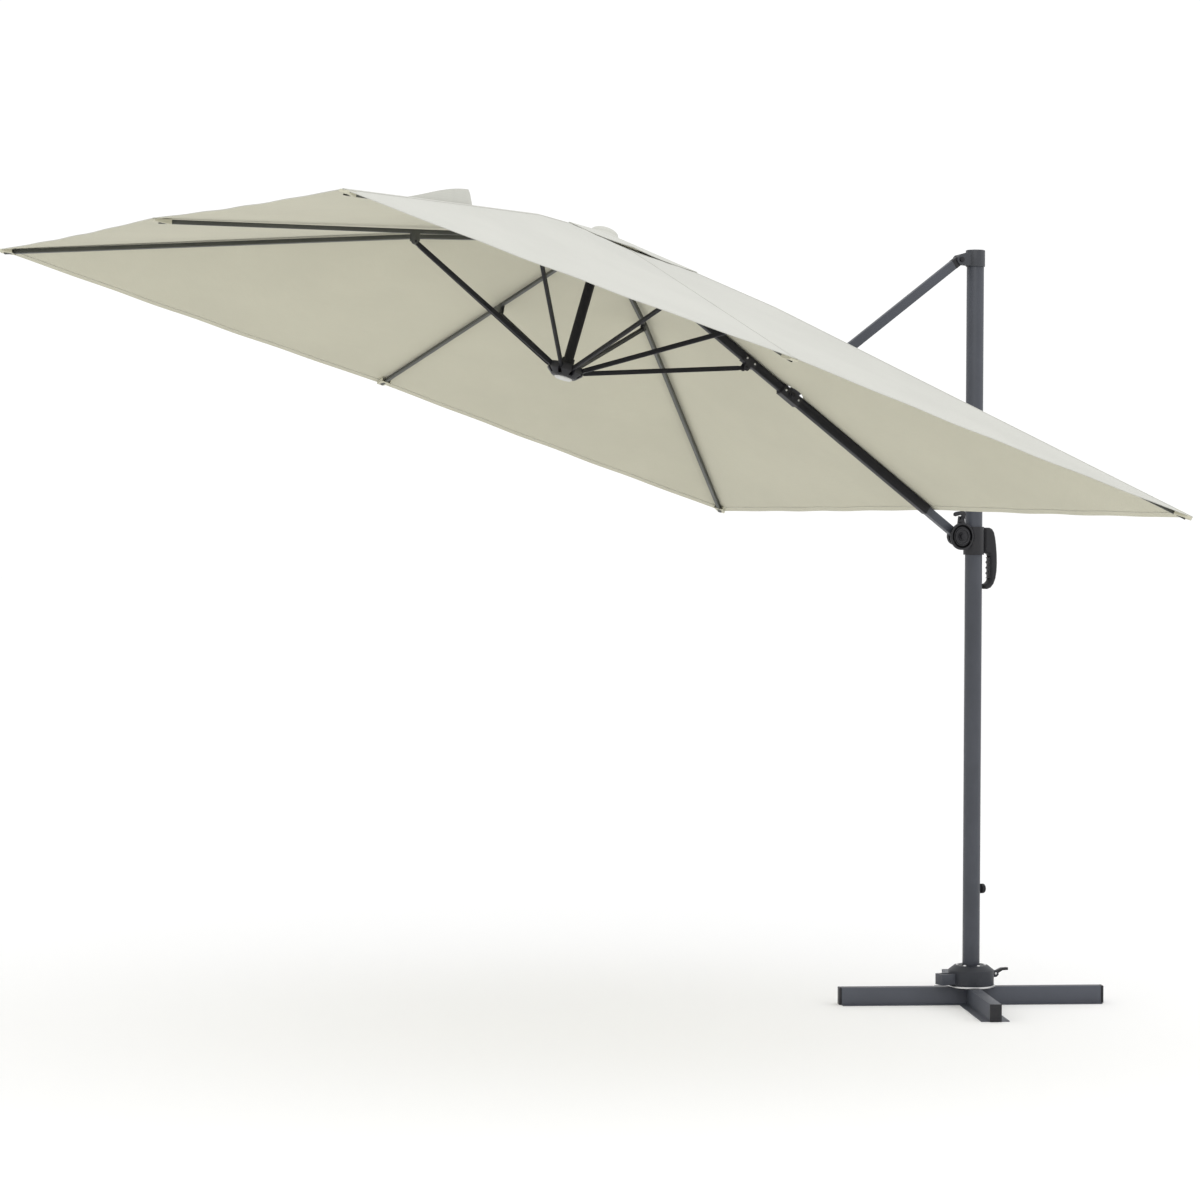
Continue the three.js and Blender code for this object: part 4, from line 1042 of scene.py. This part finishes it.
class PARASOL_OT_hub(bpy.types.Operator):
    """The top hub with its forks and the runner below it with spacer tube and grey cap"""

    bl_idname = "parasol.hub"
    bl_label = "Hub and runner"

    def execute(self, context):
        plastic = material("black_moulding")
        fitted("top_hub", 0.001, "hub", "black_plastic", plastic)
        fitted("runner", 0.001, "runner", "black_plastic", plastic)
        # The spacer tube takes the powder coat darkened as painted shade under the canopy
        fitted("spacer_tube", 0.0008, "runner", "frame_aluminium", material("shade_darkened_powder_coat"))
        points = local_points("runner_cap", CANOPY)
        top, low = max(p.z for p in points), min(p.z for p in points)
        radius = max(p.x for p in points)
        cap = turned("runner_button", [
            (radius * 0.97, top), (radius, top - 0.0012), (radius * 0.985, top - 0.0032),
            (radius * 0.86, low + 0.0006), (radius * 0.62, low), (radius * 0.58, low + 0.0012),
            (radius * 0.5, low + 0.0012), (radius * 0.45, low), (radius * 0.02, low - 0.0002),
        ], CANOPY)
        finish_piece(cap, "runner", "grey_plastic", material("grey_moulding"), "runner_cap")
        return {"FINISHED"}


class PARASOL_OT_ribs(bpy.types.Operator):
    """The seven ribs and eight struts, with domed rivets through each rib's strut joint"""

    bl_idname = "parasol.ribs"
    bl_label = "Ribs and struts"

    def execute(self, context):
        # The ribs take the powder coat lit and tinted by the cloth, as painted light
        paint = material("rib_powder_coat_cloth_lit")
        for name in RIB_NAMES:
            body = "rib_" + name
            fitted(body, 0.0006, body, "frame_aluminium", paint)
            joint = "strut_" + name + "_pivot"
            ends = [copied_rivet(f"rivet_{name}_{side + 1}", 0.0045, 0.0022,
                                 pivot(joint) + axis(joint) * side * 0.0080, axis(joint) * side)
                    for side in (-1, 1)]
            finish_piece(joined("rib_rivets_" + name, ends), body, "pin_steel",
                         material("black_steel"))
        for name in ("arm",) + RIB_NAMES:
            node = "strut_" + name
            # The struts take the powder coat darkened as painted shade under the canopy
            fitted(node, 0.0006, node, "frame_aluminium", material("shade_darkened_powder_coat"))
        return {"FINISHED"}


class PARASOL_OT_canopy(bpy.types.Operator):
    """The stretched canopy, sewn from eight panels, with its hem and the tapes over the ribs"""

    bl_idname = "parasol.canopy"
    bl_label = "Canopy"

    def execute(self, context):
        settings = cloth_settings()
        # The underside takes the inside cloth, whose darker colour is painted shade
        cloths = [material("canopy_outside"), material("canopy_inside_shaded")]
        for name, (azimuth, body, joint) in RADII.items():
            is_corner = name in CORNERS
            place = turned_place(azimuth)
            rows, values = gore_rows(main_cloth, is_corner, VENT_HOLE, HALF_WIDTH, 56, 18,
                                     slit=name == "arm")
            skip = 18 if name == "arm" else None
            panel = cloth_mesh("canopy_" + name, rows, values, settings.cloth, place, cloths,
                               skip=skip)
            finish_piece(panel, body, "canopy_cloth", cloths, "cloth_" + name)
            trim = self.trim(name, is_corner, place, cloths)
            finish_piece(trim, body, "canopy_cloth", cloths)
            for obj in (panel, trim):
                ride_rib_cloth(obj, name)
        return {"FINISHED"}

    def trim(self, name, is_corner, place, cloths):
        """The hem under the rim and the tape sewn over the rib."""
        settings = cloth_settings()
        strips = []
        rows, values = gore_rows(main_cloth, is_corner, 1 - settings.hem / HALF_WIDTH, HALF_WIDTH,
                                 3, 18,
                                 above=-0.0004)
        strips.append(cloth_mesh("hem_" + name, rows, values, 0.0009, place, cloths, offset=-1))
        start = VENT_HOLE + 0.002
        if name == "arm":
            start = slit_range()[1] + 0.004
        steps = 48
        shares = [start + (0.9995 - start) * i / steps for i in range(steps + 1)]
        edge = settings.tape / 2
        rows, values = strip_rows(main_cloth, is_corner, shares,
                                  (-edge, -edge / 2, 0, edge / 2, edge),
                                  settings.cloth + 0.0003)
        strips.append(cloth_mesh("tape_" + name, rows, values, 0.0007, place, cloths))
        return joined("canopy_trim_" + name, strips)


class PARASOL_OT_vent(bpy.types.Operator):
    """The small vent canopy over the hub, and the cloth-covered finial on top of it"""

    bl_idname = "parasol.vent"
    bl_label = "Vent cap and finial"

    def execute(self, context):
        settings = cloth_settings()
        # The underside takes the inside cloth, whose darker colour is painted shade
        cloths = [material("canopy_outside"), material("canopy_inside_shaded")]
        first = 0.046 / VENT_HALF
        stands_for = ["vent_cap"]
        for name, (azimuth, body, joint) in RADII.items():
            is_corner = name in CORNERS
            place = turned_place(azimuth)
            rows, values = gore_rows(vent_cloth, is_corner, first, VENT_HALF, 14, 9)
            panel = cloth_mesh("vent_" + name, rows, values, settings.cloth, place, cloths)
            finish_piece(panel, body, "canopy_cloth", cloths, *stands_for)
            stands_for = []
            rows, values = gore_rows(vent_cloth, is_corner, 1 - 0.012 / VENT_HALF, VENT_HALF, 2, 9,
                                     above=-0.0004)
            hem = cloth_mesh("vent_hem_" + name, rows, values, 0.0009, place, cloths, offset=-1)
            finish_piece(hem, body, "canopy_cloth", cloths)
            for obj in (panel, hem):
                ride_rib_cloth(obj, name)
        finish_piece(self.finial(), "hub", "canopy_cloth", material("canopy_outside"), "finial")
        return {"FINISHED"}

    def finial(self):
        top = max(p.z for p in local_points("finial", CANOPY))
        base = VENT_PEAK - 0.054 * (VENT_PEAK - VENT_RIM) / VENT_HALF + 0.0014
        rise = top - base
        steps = [(0.060, -0.0035), (0.0585, 0.0), (0.053, 0.0035), (0.0485, 0.0075)]
        steps += [(0.0465 * cos(t * pi / 16),
                   0.0085 + (rise - 0.0085) * sin(t * pi / 16)) for t in range(8)]
        steps += [(0.0015, rise)]
        dome = turned("finial_cover", [(r, base + z) for r, z in steps], CANOPY, sides=64)
        cloth_map(dome)
        return dome


def cloth_map(obj):
    """Gives a covered piece the cloth's own map, in metres, and no stitch lines."""
    uv = obj.data.uv_layers.new(name="cloth")
    for loop in obj.data.loops:
        point = TO_CANOPY @ obj.data.vertices[loop.vertex_index].co
        uv.data[loop.index].uv = (point.x + 0.3 * point.z, point.y - 0.3 * point.z)
    for label in ("from_rim", "along_rim", "from_rib", "along_rib"):
        layer = obj.data.attributes.new(label, "FLOAT", "POINT")
        layer.data.foreach_set("value", [1.0] * len(obj.data.vertices))


class PARASOL_OT_fittings(bpy.types.Operator):
    """The cloth pockets that hold the rib tips, and the tie strap"""

    bl_idname = "parasol.fittings"
    bl_label = "Pockets and strap"

    def execute(self, context):
        # The pockets take the inside cloth, whose darker colour is painted shade
        cloths = [material("canopy_inside_shaded")]
        for name, (azimuth, body, joint) in RADII.items():
            if name == "arm":
                continue
            is_corner = name in CORNERS
            tip = main_cloth(is_corner, 0, 1)
            back = main_cloth(is_corner, 0, 0.95)
            along = (tip - back).normalized()
            place = turned_place(azimuth) @ axes_at(tip, along, WORLD_Y)
            pocket = block("pocket_" + name, (-0.056, -0.018, -0.019), (-0.003, 0.018, -0.0016))
            edit(pocket)
            pick_faces(pocket, lambda centre, normal: normal.x > 0.9)
            bpy.ops.transform.resize(value=(1, 0.7, 0.5), center_override=(-0.003, 0, -0.0016))
            pick_faces(pocket, lambda centre, normal: normal.x < -0.9)
            bpy.ops.mesh.inset(thickness=0.0022)
            bpy.ops.mesh.extrude_region_move(TRANSFORM_OT_translate={"value": (0.012, 0, 0)})
            done()
            apply_modifier(pocket, "BEVEL", width=0.004, segments=3, limit_method="ANGLE",
                           angle_limit=radians(40), use_clamp_overlap=True)
            smooth(pocket, 50)
            place_piece(pocket, place)
            cloth_map(pocket)
            finish_piece(pocket, body, "canopy_cloth", cloths)
        finish_piece(self.tie_strap(), "rib_outer_near", "canopy_cloth", material("canopy_outside"))
        return {"FINISHED"}

    def tie_strap(self):
        """A loose strap sewn to the cloth beside the near outer rib, curling up off its surface."""
        place = turned_place(RADII["outer_near"][0])
        rows = []
        for step in range(25):
            share = step / 24
            out = STRAP_START + (STRAP_END - STRAP_START) * share
            rise = 0.052 * sin(pi / 2 * min(1.0, share / 0.9)) ** 1.6
            rise *= 1.0 if share < 0.93 else 1 - (share - 0.93) * 9
            foot = main_cloth(True, across_at(True, -0.03, out), out, 0.0015)
            rows.append([foot + Vector((0, -0.010 * k * share, rise * k)) for k in (0, 0.25, 0.5,
                                                                                    0.75, 1)])
        values = [[((p.y, p.x), (1.0, 1.0, 1.0, 1.0)) for p in row] for row in rows]
        cloth = material("canopy_outside")
        return cloth_mesh("tie_strap", rows, values, 0.0012, place, [cloth])


class PARASOL_OT_stage(bpy.types.Operator):
    """A pale floor, soft studio light and the camera"""

    bl_idname = "parasol.stage"
    bl_label = "Stage"

    def execute(self, context):
        settings = context.scene.parasol_stage
        bpy.ops.object.select_all(action="DESELECT")
        bpy.ops.mesh.primitive_plane_add(size=120, location=(0, 0, 0))
        floor = named("studio_floor")
        made, tree, shader = bare_material("studio_floor", Roughness=0.8, Specular_IOR_Level=0.1)
        shader.inputs["Base Color"].default_value = tuple(settings.floor) + (1.0,)
        floor.data.materials.append(made)

        world = bpy.data.worlds.new("studio_surround")
        world.use_nodes = True
        world.node_tree.nodes["Background"].inputs["Color"].default_value = (1, 1, 1, 1)
        world.node_tree.nodes["Background"].inputs["Strength"].default_value = settings.world
        context.scene.world = world
        context.scene.view_settings.view_transform = "Standard"

        aim = Vector((-1.0, 0, 1.6))
        for name, spot, size, power in (
            ("key", KEY_SPOT, KEY_SIZE, settings.key),
            ("fill", FILL_SPOT, FILL_SIZE, settings.key * FILL_SHARE),
        ):
            bpy.ops.object.light_add(type="AREA", location=spot)
            light = bpy.context.object
            light.name = "studio_" + name
            light.data.shape = "DISK"
            light.data.size = size
            light.data.energy = power
            direction = aim - Vector(spot)
            light.rotation_euler = direction.to_track_quat("-Z", "Y").to_euler()

        azimuth, pitch, roll = (radians(turn) for turn in CAMERA_TURN)
        forward = Vector((sin(azimuth) * cos(pitch), cos(azimuth) * cos(pitch), sin(pitch)))
        right = Vector((cos(azimuth), -sin(azimuth), 0))
        up = right.cross(forward)
        rolled_right = cos(roll) * right + sin(roll) * up
        rolled_up = -sin(roll) * right + cos(roll) * up
        turn = Matrix((rolled_right, rolled_up, -forward)).transposed()
        bpy.ops.object.camera_add(location=CAMERA_SPOT)
        camera = bpy.context.object
        camera.name = "studio_camera"
        camera.rotation_euler = turn.to_euler()
        camera.data.sensor_width = SENSOR_WIDTH
        camera.data.lens = FOCAL_SHARE * SENSOR_WIDTH
        camera.data.clip_end = 200
        context.scene.camera = camera
        return {"FINISHED"}


PIECE_OPERATORS = (
    PARASOL_OT_base, PARASOL_OT_housing, PARASOL_OT_mast, PARASOL_OT_brace, PARASOL_OT_arm,
    PARASOL_OT_slider, PARASOL_OT_handle, PARASOL_OT_hub, PARASOL_OT_ribs, PARASOL_OT_canopy,
    PARASOL_OT_vent, PARASOL_OT_fittings, PARASOL_OT_stage,
)


class PARASOL_PT_panel(bpy.types.Panel):
    """Builds the parasol piece by piece"""

    bl_idname = "PARASOL_PT_panel"
    bl_label = "Cantilever parasol"
    bl_space_type = "VIEW_3D"
    bl_region_type = "UI"
    bl_category = "Parasol"

    def draw(self, context):
        for settings in (context.scene.parasol_cloth, context.scene.parasol_finishes,
                         context.scene.parasol_stage):
            for key in settings.__annotations__:
                self.layout.prop(settings, key)
        for operator in PIECE_OPERATORS:
            self.layout.operator(operator.bl_idname)


SETTINGS = (("parasol_cloth", ParasolCloth), ("parasol_finishes", ParasolFinishes),
            ("parasol_stage", ParasolStage))
CLASSES = tuple(group for _, group in SETTINGS) + PIECE_OPERATORS + (PARASOL_PT_panel,)


def register():
    for made in CLASSES:
        bpy.utils.register_class(made)
    for name, group in SETTINGS:
        setattr(bpy.types.Scene, name, PointerProperty(type=group))


def unregister():
    for name, _ in reversed(SETTINGS):
        delattr(bpy.types.Scene, name)
    for made in reversed(CLASSES):
        bpy.utils.unregister_class(made)


def main():
    register()
    for operator in PIECE_OPERATORS:
        group, name = operator.bl_idname.split(".")
        getattr(getattr(bpy.ops, group), name)()


if __name__ == "__main__":
    main()
